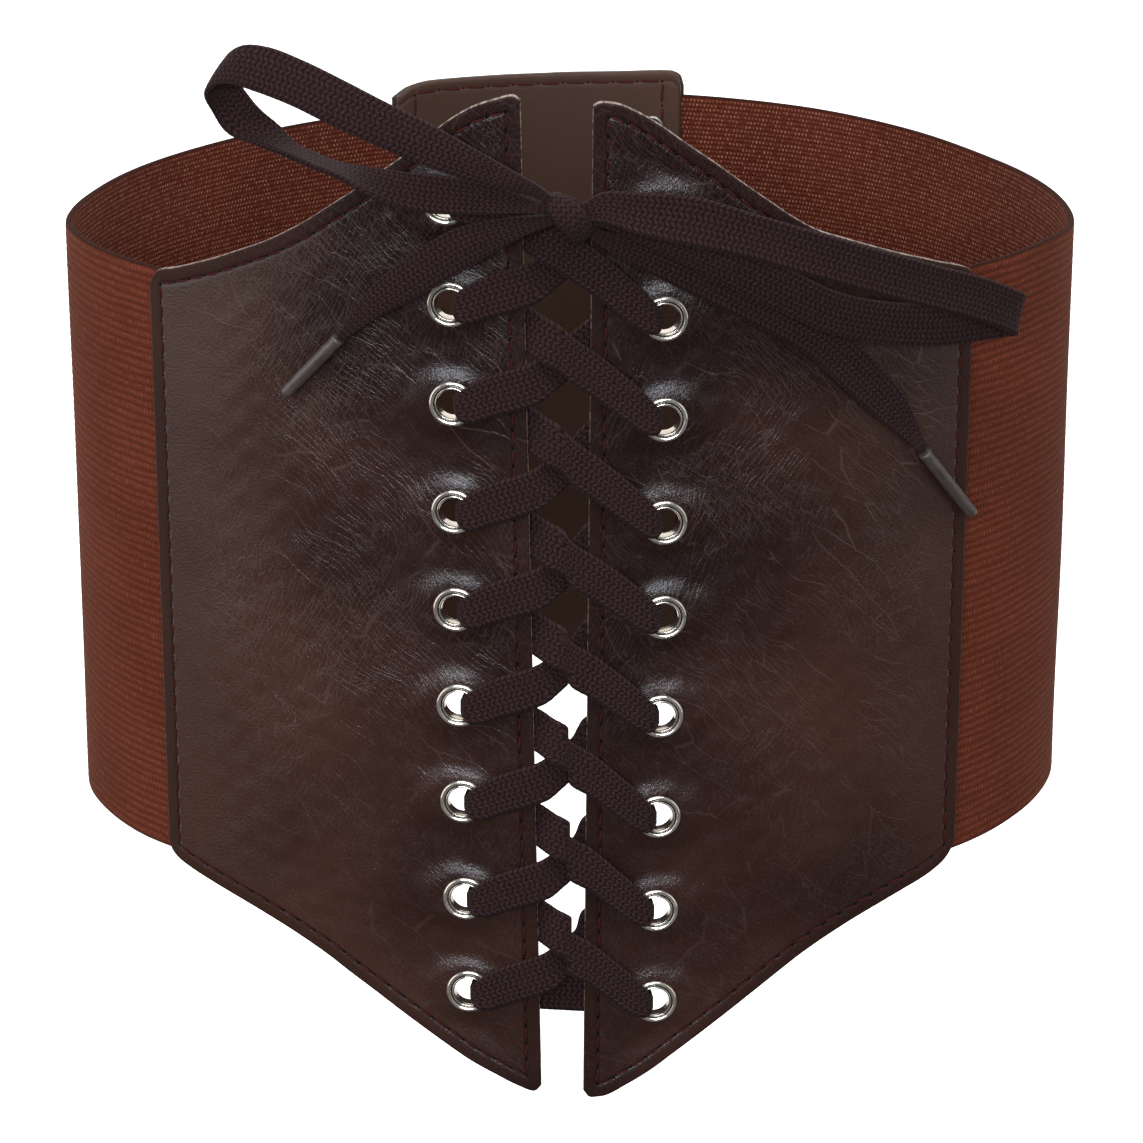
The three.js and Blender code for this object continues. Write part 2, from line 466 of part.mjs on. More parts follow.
[['left', AGLET_LEFT], ['right', AGLET_RIGHT]].forEach(([side, { from, to, radius }]) => {
  const [a, b] = [new THREE.Vector3(...from), new THREE.Vector3(...to)];
  const tip = add(`aglet_${side}`, new THREE.CylinderGeometry(radius, radius * 0.95, a.distanceTo(b), 12), TIP_PLASTIC);
  tip.quaternion.setFromUnitVectors(new THREE.Vector3(0, -1, 0), b.clone().sub(a).normalize());
  tip.position.copy(a.clone().add(b).multiplyScalar(0.5));
});

export default belt;
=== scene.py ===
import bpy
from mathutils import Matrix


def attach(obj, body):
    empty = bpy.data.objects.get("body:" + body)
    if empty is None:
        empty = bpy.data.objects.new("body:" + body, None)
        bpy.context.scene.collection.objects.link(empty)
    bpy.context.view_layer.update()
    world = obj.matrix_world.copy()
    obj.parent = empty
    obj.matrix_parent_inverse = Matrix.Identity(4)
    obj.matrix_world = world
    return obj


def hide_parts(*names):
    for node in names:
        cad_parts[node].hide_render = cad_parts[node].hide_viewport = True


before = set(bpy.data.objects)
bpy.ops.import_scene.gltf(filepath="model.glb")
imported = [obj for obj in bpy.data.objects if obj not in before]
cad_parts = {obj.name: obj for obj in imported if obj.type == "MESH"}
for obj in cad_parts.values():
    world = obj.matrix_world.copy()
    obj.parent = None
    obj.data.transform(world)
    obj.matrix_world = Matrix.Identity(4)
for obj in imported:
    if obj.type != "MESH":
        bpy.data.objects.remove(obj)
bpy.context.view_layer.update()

import math

import bpy
import numpy as np

# All tables are in millimetres in the row frame; meshes are written in metres.
MM = 0.001
rng = np.random.default_rng(7)


def srgb(text):
    text = text.lstrip("#")
    out = []
    for i in (0, 2, 4):
        c = int(text[i:i + 2], 16) / 255
        out.append(c / 12.92 if c <= 0.04045 else ((c + 0.055) / 1.055) ** 2.4)
    return (*out, 1.0)


# ------------------------------------------------------------------ camera first
ELEVATION = math.radians(20.5)
camera_data = bpy.data.cameras.new("camera")
camera_data.sensor_fit = "HORIZONTAL"
camera_data.sensor_width = 36.0
camera_data.lens = 163.64
camera_data.clip_end = 60.0
camera = bpy.data.objects.new("camera", camera_data)
camera.location = (0.0003, -1.144434, 0.405730)
camera.rotation_euler = (math.pi / 2 - ELEVATION, 0.0, 0.0)
bpy.context.scene.collection.objects.link(camera)
bpy.context.scene.camera = camera
bpy.context.scene.view_settings.view_transform = "Standard"

# ------------------------------------------------------------------ the belt's plan section
HALF_WIDTH, FRONT_DEPTH, BACK_DEPTH, WIDEST_Y = 114.0, 70.0, 100.0, -15.0
TAPER, RIM = 0.993, 68.0
_angle = np.pi * np.arange(1441) / 1440
_depth = np.where(np.cos(_angle) > 0, FRONT_DEPTH, BACK_DEPTH)
_px, _py = HALF_WIDTH * np.sin(_angle), -_depth * np.cos(_angle)
_arc = np.concatenate([[0.0], np.cumsum(np.hypot(np.diff(_px), np.diff(_py)))])
HALF_GIRTH = float(_arc[-1])


def plan(s):
    """angle, tangent and outward normal at distance s round the belt"""
    s = np.asarray(s, float)
    s = (s + HALF_GIRTH) % (2 * HALF_GIRTH) - HALF_GIRTH
    angle = np.sign(s) * np.interp(np.abs(s), _arc, _angle)
    depth = np.where(np.cos(angle) > 0, FRONT_DEPTH, BACK_DEPTH)
    tx, ty = HALF_WIDTH * np.cos(angle), depth * np.sin(angle)
    long = np.hypot(tx, ty)
    tangent = np.stack([tx / long, ty / long, np.zeros_like(tx)], -1)
    normal = np.stack([ty / long, -tx / long, np.zeros_like(tx)], -1)
    return angle, depth, tangent, normal


def on_belt(s, z, d):
    s, z, d = np.broadcast_arrays(np.asarray(s, float), np.asarray(z, float), np.asarray(d, float))
    angle, depth, _, normal = plan(s)
    scale = 1 + (TAPER - 1) * (RIM - z) / (2 * RIM)
    p = np.stack([HALF_WIDTH * np.sin(angle) * scale, WIDEST_Y - depth * np.cos(angle) * scale, z], -1)
    return p + normal * d[..., None]


def lerp(a, b, t):
    return a + (b - a) * t


def pchip(xs, ys, q):
    """monotone cubic through a short table"""
    xs, ys, q = np.asarray(xs, float), np.asarray(ys, float), np.asarray(q, float)
    if xs[-1] < xs[0]:
        xs, ys = xs[::-1], ys[::-1]
    h = np.diff(xs)
    slope = np.diff(ys) / h
    m = np.zeros_like(ys)
    m[0], m[-1] = slope[0], slope[-1]
    for i in range(1, len(xs) - 1):
        a, b = slope[i - 1], slope[i]
        if a * b > 0:
            w1, w2 = 2 * h[i] + h[i - 1], h[i] + 2 * h[i - 1]
            m[i] = (w1 + w2) / (w1 / a + w2 / b)
    q = np.clip(q, xs[0], xs[-1])
    k = np.clip(np.searchsorted(xs, q, "right") - 1, 0, len(xs) - 2)
    t = (q - xs[k]) / h[k]
    return ((2 * t ** 3 - 3 * t ** 2 + 1) * ys[k] + (t ** 3 - 2 * t ** 2 + t) * h[k] * m[k]
            + (-2 * t ** 3 + 3 * t ** 2) * ys[k + 1] + (t ** 3 - t ** 2) * h[k] * m[k + 1])


def through(rows, step, power=0.75):
    """smooth curve through rows whose first three columns are a place, sampled every step mm"""
    rows = np.asarray(rows, float)
    gaps = np.linalg.norm(np.diff(rows[:, :3], axis=0), axis=1)
    t = np.concatenate([[0], np.cumsum(np.maximum(gaps, 1e-3) ** power)])
    h = np.diff(t)
    slope = np.diff(rows, axis=0) / h[:, None]
    m = np.empty_like(rows)
    m[0], m[-1] = slope[0], slope[-1]
    m[1:-1] = (slope[:-1] * h[1:, None] + slope[1:] * h[:-1, None]) / (h[1:] + h[:-1])[:, None]
    q = np.concatenate([np.linspace(t[i], t[i + 1], 40, endpoint=False) for i in range(len(h))] + [[t[-1]]])
    k = np.clip(np.searchsorted(t, q, "right") - 1, 0, len(h) - 1)
    u = ((q - t[k]) / h[k])[:, None]
    hk = h[k][:, None]
    dense = ((2 * u ** 3 - 3 * u ** 2 + 1) * rows[k] + (u ** 3 - 2 * u ** 2 + u) * hk * m[k]
             + (-2 * u ** 3 + 3 * u ** 2) * rows[k + 1] + (u ** 3 - u ** 2) * hk * m[k + 1])
    run = np.concatenate([[0], np.cumsum(np.linalg.norm(np.diff(dense[:, :3], axis=0), axis=1))])
    count = max(3, int(round(run[-1] / step)) + 1)
    at = np.linspace(0, run[-1], count)
    out = np.stack([np.interp(at, run, dense[:, j]) for j in range(rows.shape[1])], 1)
    return out, at


def unit(v):
    return v / np.maximum(np.linalg.norm(v, axis=-1, keepdims=True), 1e-12)


# ------------------------------------------------------------------ meshes from arrays
def make_mesh(name, verts, quads=None, tris=None, coords=None, materials=(), slots=None, smooth=True, extra=None):
    """verts in mm. coords is a vector for each vertex that the materials read as mm."""
    verts = np.asarray(verts, float).reshape(-1, 3)
    quads = np.zeros((0, 4), int) if quads is None or len(quads) == 0 else np.asarray(quads, int)
    tris = np.zeros((0, 3), int) if tris is None or len(tris) == 0 else np.asarray(tris, int)
    mesh = bpy.data.meshes.new(name)
    mesh.vertices.add(len(verts))
    mesh.vertices.foreach_set("co", (verts * MM).astype(np.float32).ravel())
    corners = np.concatenate([quads.ravel(), tris.ravel()]).astype(np.int32)
    mesh.loops.add(len(corners))
    mesh.loops.foreach_set("vertex_index", corners)
    starts = np.concatenate([np.arange(len(quads)) * 4, len(quads) * 4 + np.arange(len(tris)) * 3]).astype(np.int32)
    mesh.polygons.add(len(starts))
    mesh.polygons.foreach_set("loop_start", starts)
    mesh.polygons.foreach_set("use_smooth", np.full(len(starts), smooth, dtype=bool))
    for m in materials:
        mesh.materials.append(m)
    if slots is not None:
        mesh.polygons.foreach_set("material_index", np.asarray(slots, np.int32))
    mesh.update(calc_edges=True)
    if coords is not None:
        a = mesh.attributes.new("mm", "FLOAT_VECTOR", "POINT")
        a.data.foreach_set("vector", np.asarray(coords, np.float32).ravel())
    for key, values in (extra or {}).items():
        a = mesh.attributes.new(key, "FLOAT", "POINT")
        a.data.foreach_set("value", np.asarray(values, np.float32).ravel())
    mesh.validate()
    obj = bpy.data.objects.new(name, mesh)
    bpy.context.scene.collection.objects.link(obj)
    return obj


def volume(verts, quads, tris=None):
    v = np.asarray(verts, float)
    six = 0.0
    for f in ([quads[:, [0, 1, 2]], quads[:, [0, 2, 3]]] if quads is not None and len(quads) else []) + ([tris] if tris is not None and len(tris) else []):
        six += np.einsum("ij,ij->i", v[f[:, 0]], np.cross(v[f[:, 1]], v[f[:, 2]])).sum()
    return six


def outward(verts, quads, tris=None):
    if volume(verts, quads, tris) < 0:
        quads = quads[:, ::-1] if quads is not None else None
        tris = tris[:, ::-1] if tris is not None else None
    return quads, tris


def tube(rings, caps=True):
    """rings (n, m, 3) -> verts, quads, tris of a closed tube with domed ends given by its rings"""
    n, m = rings.shape[:2]
    verts = rings.reshape(-1, 3)
    i, k = np.meshgrid(np.arange(n - 1), np.arange(m), indexing="ij")
    a, b = i * m + k, i * m + (k + 1) % m
    quads = np.stack([a, b, b + m, a + m], -1).reshape(-1, 4)
    tris = None
    if caps:
        verts = np.concatenate([verts, rings[0].mean(0)[None], rings[-1].mean(0)[None]])
        k = np.arange(m)
        low = np.stack([np.full(m, n * m), (k + 1) % m, k], -1)
        high = np.stack([np.full(m, n * m + 1), (n - 1) * m + k, (n - 1) * m + (k + 1) % m], -1)
        tris = np.concatenate([low, high])
    quads, tris = outward(verts, quads, tris)
    return verts, quads, tris


class Batch:
    """many small bodies joined into one mesh"""

    def __init__(self):
        self.verts, self.quads, self.tris, self.coords, self.qslot, self.tslot, self.count = [], [], [], [], [], [], 0

    def add(self, verts, quads, tris, slot=0, coords=None):
        verts = np.asarray(verts, float)
        self.verts.append(verts)
        self.coords.append(np.zeros((len(verts), 3)) if coords is None else coords)
        if quads is not None and len(quads):
            self.quads.append(np.asarray(quads) + self.count)
            self.qslot.append(np.full(len(quads), slot))
        if tris is not None and len(tris):
            self.tris.append(np.asarray(tris) + self.count)
            self.tslot.append(np.full(len(tris), slot))
        self.count += len(verts)

    def build(self, name, materials):
        quads = np.concatenate(self.quads) if self.quads else None
        tris = np.concatenate(self.tris) if self.tris else None
        slots = np.concatenate(self.qslot + self.tslot)
        return make_mesh(name, np.concatenate(self.verts), quads, tris, np.concatenate(self.coords), materials, slots)


# ------------------------------------------------------------------ node helper
class Nodes:
    def __init__(self, name):
        self.material = bpy.data.materials.new(name)
        self.material.use_nodes = True
        self.tree = self.material.node_tree
        self.shader = self.tree.nodes["Principled BSDF"]

    def put(self, socket, value):
        if isinstance(value, bpy.types.NodeSocket):
            self.tree.links.new(value, socket)
        elif value is not None:
            socket.default_value = value

    def node(self, kind, **props):
        n = self.tree.nodes.new(kind)
        for k, v in props.items():
            setattr(n, k, v)
        return n

    def math(self, op, a, b=None, c=None, clamp=False):
        n = self.node("ShaderNodeMath", operation=op, use_clamp=clamp)
        for i, v in enumerate((a, b, c)):
            if v is not None:
                self.put(n.inputs[i], v)
        return n.outputs[0]

    def add(self, a, b):
        return self.math("ADD", a, b)

    def mul(self, a, b):
        return self.math("MULTIPLY", a, b)

    def vec(self, op, a, b=None, scale=None):
        n = self.node("ShaderNodeVectorMath", operation=op)
        self.put(n.inputs[0], a)
        if b is not None:
            self.put(n.inputs[1], b)
        if scale is not None:
            self.put(n.inputs["Scale"], scale)
        return n.outputs[0]

    def xyz(self, x=0.0, y=0.0, z=0.0):
        n = self.node("ShaderNodeCombineXYZ")
        for i, v in enumerate((x, y, z)):
            self.put(n.inputs[i], v)
        return n.outputs[0]

    def parts(self, v):
        n = self.node("ShaderNodeSeparateXYZ")
        self.put(n.inputs[0], v)
        return n.outputs[0], n.outputs[1], n.outputs[2]

    def attribute(self, name="mm"):
        n = self.node("ShaderNodeAttribute", attribute_name=name)
        n.attribute_type = "GEOMETRY"
        return n

    def noise(self, v, scale, detail=2.0, rough=0.5, distortion=0.0, colour=False, flat=True):
        n = self.node("ShaderNodeTexNoise", noise_dimensions="2D" if flat else "3D")
        self.put(n.inputs["Vector"], v)
        n.inputs["Scale"].default_value = scale
        n.inputs["Detail"].default_value = detail
        n.inputs["Roughness"].default_value = rough
        n.inputs["Distortion"].default_value = distortion
        return n.outputs["Color"] if colour else n.outputs["Fac"]

    def voronoi(self, v, scale, feature="DISTANCE_TO_EDGE", randomness=1.0):
        n = self.node("ShaderNodeTexVoronoi", feature=feature, voronoi_dimensions="2D")
        self.put(n.inputs["Vector"], v)
        n.inputs["Scale"].default_value = scale
        n.inputs["Randomness"].default_value = randomness
        return n.outputs["Distance"]

    def span(self, v, a, b, c=0.0, d=1.0, kind="SMOOTHSTEP"):
        n = self.node("ShaderNodeMapRange", interpolation_type=kind)
        self.put(n.inputs["Value"], v)
        for key, value in (("From Min", a), ("From Max", b), ("To Min", c), ("To Max", d)):
            self.put(n.inputs[key], value)
        return n.outputs["Result"]

    def mix(self, fac, a, b, kind="MIX"):
        n = self.node("ShaderNodeMix", data_type="RGBA", blend_type=kind)
        self.put(n.inputs[0], fac)
        self.put(n.inputs[6], a)
        self.put(n.inputs[7], b)
        return n.outputs[2]

    def bump(self, height, distance=MM, strength=1.0, normal=None):
        n = self.node("ShaderNodeBump")
        n.inputs["Strength"].default_value = strength
        n.inputs["Distance"].default_value = distance
        self.put(n.inputs["Height"], height)
        if normal is not None:
            self.put(n.inputs["Normal"], normal)
        return n.outputs["Normal"]

    def set(self, **values):
        names = {"colour": "Base Color", "rough": "Roughness", "metal": "Metallic", "normal": "Normal", "ior": "IOR",
                 "specular": "Specular IOR Level", "coat": "Coat Weight", "coat_rough": "Coat Roughness",
                 "sheen": "Sheen Weight", "sheen_rough": "Sheen Roughness", "sheen_tint": "Sheen Tint",
                 "coat_normal": "Coat Normal", "tint": "Specular Tint"}
        for k, v in values.items():
            self.put(self.shader.inputs[names[k]], v)
        return self.material


# ------------------------------------------------------------------ materials
def leather_material(name, low, high, rough, specular, coat, coat_rough, crinkle=1.0, wear_and_sheen="#66534c", strip=True, raw=1.0):
    """crinkled leather look: long thin creases in patches over a fine crazing and a pebbled grain, satin gloss;
    mm = (s, z, distance from the cut edge)"""
    g = Nodes(name)
    s, z, edge = g.parts(g.attribute().outputs["Vector"])
    flat = g.xyz(s, z, 0.0)
    wob = g.vec("SCALE", g.vec("SUBTRACT", g.noise(flat, 0.05, 1.0, 0.5, colour=True), (0.5, 0.5, 0.5)), scale=7.0)
    wob2 = g.vec("SCALE", g.vec("SUBTRACT", g.noise(flat, 0.45, 1.0, 0.5, colour=True), (0.5, 0.5, 0.5)), scale=0.7)
    warped = g.vec("ADD", g.vec("ADD", flat, wob), wob2)

    def net(turn, across, along, offset, width):
        m = g.node("ShaderNodeMapping", vector_type="TEXTURE")
        m.inputs["Location"].default_value = (offset, offset * 0.7, 0)
        m.inputs["Rotation"].default_value = (0, 0, math.radians(turn))
        m.inputs["Scale"].default_value = (along, across, 1.0)
        g.put(m.inputs["Vector"], warped)
        return g.span(g.voronoi(m.outputs[0], 1.0), 0.0, width, 1.0, 0.0)

    def patches(x, y, scale, low, high):
        return g.span(g.noise(g.vec("ADD", flat, (x, y, 0.0)), scale, 2.0, 0.6), low, high)

    upper = g.span(z, 40.0, 85.0, 0.0, 0.85)  # the leather is worked more where it is thin, at the top
    crease_a = g.mul(net(-48, 1.15, 9.0, 3.1, 0.075), g.math("MAXIMUM", patches(0.0, 0.0, 0.030, 0.38, 0.62), upper))
    crease_b = g.mul(net(66, 1.10, 7.5, 9.3, 0.075), g.math("MAXIMUM", patches(140.0, 57.0, 0.028, 0.38, 0.62), upper))
    long_crease = g.mul(net(-40, 6.0, 34.0, 5.7, 0.024), patches(11.0, 97.0, 0.060, 0.42, 0.56))
    lines = g.math("MAXIMUM", g.math("MAXIMUM", crease_a, crease_b), g.mul(long_crease, 1.3))
    # hardly any creases over the pulled, smooth strip along the sewn sides
    if strip:
        lines = g.mul(g.mul(lines, g.span(g.math("ABSOLUTE", s), 76.0, 91.0, 1.0, 0.12)), g.span(z, -70.0, 0.0, 0.45, 1.0))
    grain = g.noise(flat, 1.6, 2.0, 0.70)
    height = g.add(g.mul(lines, 0.028 * crinkle), g.mul(grain, 0.080))
    normal = g.bump(height)
    # painted light: the colour drifts paler towards the lower and outer parts of the panels, standing in for the light
    # that falls there
    painted_light_drift = g.add(g.mul(z, -0.0013), g.mul(g.math("SUBTRACT", g.math("ABSOLUTE", s), 42.0), 0.0034)) if strip else 0.0
    cloud = g.span(g.add(g.mul(g.noise(flat, 0.020, 1.0, 0.55), 0.55), painted_light_drift), 0.12, 0.52)
    colour = g.mix(cloud, srgb(low), srgb(high))
    # the grain's tops and, more strongly, the crease lines are mixed towards a paler tone; on the creases this is
    # painted highlight, standing in for the light their ridges catch
    colour = g.mix(g.mul(g.span(grain, 0.52, 0.76), 0.10 * crinkle), colour, srgb(wear_and_sheen))
    colour = g.mix(g.mul(lines, 0.20 * crinkle), colour, srgb(wear_and_sheen))
    inside = 1.0
    if strip:
        inside = g.span(edge, 2.5, 3.1)
        colour = g.mix(g.mul(g.math("SUBTRACT", 1.0, inside), 0.45), colour, srgb("#24130e"))
        # painted shade: a near-black line along the sunken stitch groove
        seam = g.math("ABSOLUTE", g.math("SUBTRACT", edge, 3.2))
        colour = g.mix(g.span(seam, 0.20, 0.60, 0.80, 0.0), colour, srgb("#100708"))
    if raw:
        cut = g.mul(g.span(edge, 0.02, 0.16, raw, 0.0), g.span(g.noise(flat, 0.9, 2.0), 0.35, 0.60, 0.10, 1.0))
        colour = g.mix(cut, colour, srgb("#8d7a70"))
    roughness = g.span(g.noise(flat, 0.25, 2.0, 0.6), 0.3, 0.7, rough - 0.04, rough + 0.08)
    if strip:
        roughness = g.add(roughness, g.mul(g.math("SUBTRACT", 1.0, inside), 0.2))
        coat = g.span(edge, 2.5, 3.1, coat * 0.2, coat)
        specular = g.span(edge, 2.5, 3.1, specular * 0.45, specular)
    return g.set(colour=colour, rough=roughness, specular=specular, coat=coat, coat_rough=coat_rough, normal=normal, coat_normal=normal)


def backing_material():
    """woven cotton backing of the leather-look sheet"""
    g = Nodes("leather_backing")
    s, z, edge = g.parts(g.attribute().outputs["Vector"])
    a = g.math("ABSOLUTE", g.math("SINE", g.mul(s, math.pi / 0.75)))
    b = g.math("ABSOLUTE", g.math("SINE", g.mul(z, math.pi / 0.75)))
    weave = g.mul(a, b)
    flat = g.xyz(s, z, 0.0)
    fuzz = g.noise(flat, 1.7, 3.0, 0.7)
    colour = g.mix(weave, srgb("#1d1411"), srgb("#3a2c27"))
    colour = g.mix(g.mul(fuzz, 0.5), colour, srgb("#4a3a33"))
    return g.set(colour=colour, rough=0.92, specular=0.2, sheen=0.15, normal=g.bump(g.add(g.mul(weave, 0.10), g.mul(fuzz, 0.06))))


RIB = 1.80


def elastic_material(name, outer):
    """ribbed elastic webbing: ribs run round the belt, wrapped by fine crosswise threads that show as rows of specks;
    mm = (s, z, distance from the rim)"""
    g = Nodes(name)
    s, z, edge = g.parts(g.attribute().outputs["Vector"])
    flat = g.xyz(s, z, 0.0)
    sway = g.mul(g.math("SUBTRACT", g.noise(g.xyz(g.mul(s, 0.10), g.mul(z, 0.5), 0.0), 1.0, 2.0), 0.5), 1.15 if outer else 0.3)
    zz = g.add(z, sway)
    line = RIB if outer else RIB * 0.62
    rib = g.math("COSINE", g.mul(zz, 2 * math.pi / line))
    crest = g.span(rib, -1.0, 0.7)
    row = g.math("FLOOR", g.math("ADD", g.mul(zz, 1 / line), 0.5))
    pitch = 0.93
    jog = g.mul(g.noise(flat, 1.1, 1.0), 0.55 if outer else 0.30)
    tick = g.span(g.math("COSINE", g.mul(g.add(g.mul(s, 1 / pitch), g.add(g.mul(row, 0.36), jog)), 2 * math.pi)), 0.15, 0.98)
    spark = g.span(g.noise(g.vec("ADD", flat, (31.0, 7.0, 0.0)), 0.55, 2.0, 0.75), 0.34, 0.64)
    fibre = g.noise(g.xyz(s, g.mul(z, 1.6), 0.0), 1.6, 2.0, 0.75)
    cloud = g.span(g.noise(flat, 0.035, 1.0, 0.55), 0.3, 0.7)
    if outer:
        base = g.mix(cloud, srgb("#5c2b1b"), srgb("#653020"))
        groove, light, strong, deep = srgb("#4c2114"), srgb("#8a5240"), 0.62, 0.66
    else:
        base = g.mix(cloud, srgb("#542418"), srgb("#5e2a1c"))
        groove, light, strong, deep = srgb("#431a10"), srgb("#b4826c"), 0.72, 0.75
    # painted shade: the grooves between the ribs are coloured darker
    colour = g.mix(g.mul(g.math("SUBTRACT", 1.0, crest), g.span(fibre, 0.30, 0.62, deep * 0.55, deep * 1.15)), base, groove)
    colour = g.mix(g.mul(g.mul(tick, spark), g.mul(crest, strong)), colour, light)
    colour = g.mix(g.mul(g.span(fibre, 0.40, 0.70), 0.48), colour, srgb("#461c10"))
    rim = g.span(edge, 0.20, 0.55, 1.0, 0.0)
    colour = g.mix(g.mul(rim, 0.85), colour, srgb("#241310"))
    height = g.add(g.mul(rib, 0.05), g.add(g.mul(g.mul(tick, crest), 0.06), g.mul(fibre, 0.20)))
    return g.set(colour=colour, rough=0.92, specular=0.06, sheen=0.05, sheen_rough=0.5, sheen_tint=(0.9, 0.45, 0.3, 1.0),
                 normal=g.bump(height))


BRAID_PITCH = 1.28
BRAID_CELLS = 9
BRAID_LEAN = 0.60


def braid_height(u, w):
    """0 in the gaps between the strands, 1 on top of them; u in mm along the lace, w in pairs of strand rows round it"""
    w2 = np.asarray(w) * 2
    row = np.floor(w2)
    v = w2 - row - 0.5
    lean = 1 - 2 * np.mod(row, 2)
    p = u / BRAID_PITCH + lean * BRAID_LEAN * v
    return np.abs(np.cos(np.pi * p)) ** 0.6 * np.cos(np.pi * v * 0.80) ** 0.5


def braid_material(name="lace_braid_look", low="#0f0707", base="#281818", high="#412d2c"):
    """flat braid: rows of strands that lean to and fro like a plait; mm = (along, pairs of rows round, piece)"""
    g = Nodes(name)
    u, w, piece = g.parts(g.attribute().outputs["Vector"])
    w2 = g.mul(w, 2.0)
    row = g.math("FLOOR", w2)
    v = g.math("SUBTRACT", g.math("SUBTRACT", w2, row), 0.5)
    lean = g.math("SUBTRACT", 1.0, g.mul(g.math("FRACT", g.mul(row, 0.5)), 4.0))
    flat = g.xyz(g.add(u, g.mul(piece, 50.0)), g.mul(w, 2.2), 0.0)
    stray = g.mul(g.math("SUBTRACT", g.noise(flat, 0.6, 1.0), 0.5), 0.35)
    p = g.add(g.add(g.mul(u, 1 / BRAID_PITCH), g.mul(g.mul(v, lean), BRAID_LEAN)), stray)
    bead = g.math("POWER", g.math("ABSOLUTE", g.math("COSINE", g.mul(p, math.pi))), 0.5)
    side = g.math("POWER", g.math("COSINE", g.mul(v, math.pi * 0.80)), 0.5)
    net = g.mul(bead, side)
    fuzz = g.noise(flat, 2.4, 2.0, 0.75)
    cloud = g.noise(flat, 0.15, 2.0, 0.5)
    # painted shade and highlight: the gaps between the strands take the dark low colour, the strand tops the pale high
    # colour
    colour = g.mix(g.span(net, 0.25, 0.72), srgb(low), srgb(base))
    colour = g.mix(g.mul(g.span(net, 0.60, 0.98), g.span(fuzz, 0.38, 0.66, 0.05, 0.9)), colour, srgb(high))
    colour = g.mix(g.mul(cloud, 0.30), colour, srgb("#2a1d20"))
    height = g.add(g.mul(net, 0.17), g.mul(fuzz, 0.13))
    return g.set(colour=colour, rough=0.90, specular=0.08, sheen=0.04, sheen_rough=0.5, sheen_tint=(0.75, 0.62, 0.60, 1.0),
                 normal=g.bump(height))


def thread_material(name, colour_a, colour_b):
    g = Nodes(name)
    u, v, _ = g.parts(g.attribute().outputs["Vector"])
    twist = g.math("SINE", g.mul(g.add(u, g.mul(v, 0.6)), 2 * math.pi / 0.7))
    colour = g.mix(g.span(twist, -1.0, 1.0), srgb(colour_a), srgb(colour_b))
    return g.set(colour=colour, rough=0.8, specular=0.12, normal=g.bump(g.mul(twist, 0.05)))


def dark_material(name, colour):
    g = Nodes(name)
    v = g.node("ShaderNodeTexCoord").outputs["Object"]
    return g.set(colour=g.mix(g.noise(v, 900.0, flat=False), srgb(colour), srgb("#000000")), rough=0.95, specular=0.1)


def nickel_material():
    """bright nickel plate with faint turning marks and handling wear; the dark line in the groove and the dull brown
    inside the hole are painted shade
    """
    g = Nodes("eyelet_nickel_look")
    v = g.node("ShaderNodeTexCoord").outputs["Object"]
    r, _, h = g.parts(g.attribute().outputs["Vector"])
    wear_and_sheen = g.span(g.noise(v, 260.0, 2.0, 0.65, flat=False), 0.35, 0.75)
    colour = g.mix(wear_and_sheen, srgb("#e9e5dc"), srgb("#cbc4b8"))
    # painted shade: a dark line in the groove between the two lips, standing in for the dark leather reflected there
    painted_groove_shade = g.mul(g.span(g.math("ABSOLUTE", g.math("SUBTRACT", r, 3.88)), 0.08, 0.20, 0.85, 0.0), g.span(h, -0.20, -0.10))
    colour = g.mix(painted_groove_shade, colour, srgb("#1d1815"))
    # painted shade: the inner lip and the barrel are tinted dull brown where they turn down into the hole, damping the
    # glare they would catch
    colour = g.mix(g.span(r, 3.55, 3.30, 0.0, 0.80), colour, srgb("#5d4d3c"))
    rough = g.span(g.noise(v, 700.0, 2.0, 0.6, flat=False), 0.3, 0.8, 0.10, 0.22)
    return g.set(colour=colour, metal=0.88, rough=rough, normal=g.bump(g.noise(v, 1500.0, 1.0, flat=False), distance=0.00001))


def stud_material():
    g = Nodes("stud_metal_look")
    r, _, _ = g.parts(g.attribute().outputs["Vector"])
    v = g.node("ShaderNodeTexCoord").outputs["Object"]
    ring = g.span(r, 1.75, 2.0)
    colour = g.mix(ring, srgb("#2b2827"), srgb("#86817c"))
    rough = g.span(g.noise(v, 500.0, 2.0, 0.6, flat=False), 0.3, 0.8, 0.34, 0.50)
    return g.set(colour=colour, metal=1.0, rough=rough, normal=g.bump(g.noise(v, 1200.0, 1.0, flat=False), distance=0.00002))


def tip_material():
    """dark plastic lace tip, drawn lengthwise"""
    g = Nodes("lace_tip_look")
    u, w, _ = g.parts(g.attribute().outputs["Vector"])
    line = g.noise(g.xyz(g.mul(u, 0.25), g.mul(w, 9.0), 0.0), 1.0, 3.0, 0.6)
    colour = g.mix(line, srgb("#2d2726"), srgb("#4f4643"))
    rough = g.span(line, 0.2, 0.8, 0.30, 0.46)
    return g.set(colour=colour, rough=rough, specular=0.5, coat=0.25, coat_rough=0.2, normal=g.bump(g.mul(line, 0.10)))


LEATHER = leather_material("panel_leather_look", "#1c0e0d", "#3a241c", 0.32, 0.23, 0.31, 0.12, wear_and_sheen="#66524c")
BACKING = backing_material()
TAB_LEATHER = leather_material("tab_leather_look", "#3d2a20", "#453026", 0.55, 0.20, 0.02, 0.4, crinkle=0.15, strip=False, raw=0.0)
ELASTIC_OUT = elastic_material("elastic_outside", True)
ELASTIC_IN = elastic_material("elastic_inside", False)
BRAID = braid_material()
THREAD = thread_material("seam_thread", "#2f100f", "#52221d")
HOLE = dark_material("needle_hole", "#0a0605")
NICKEL = nickel_material()
STUD_METAL = stud_material()
TIP = tip_material()

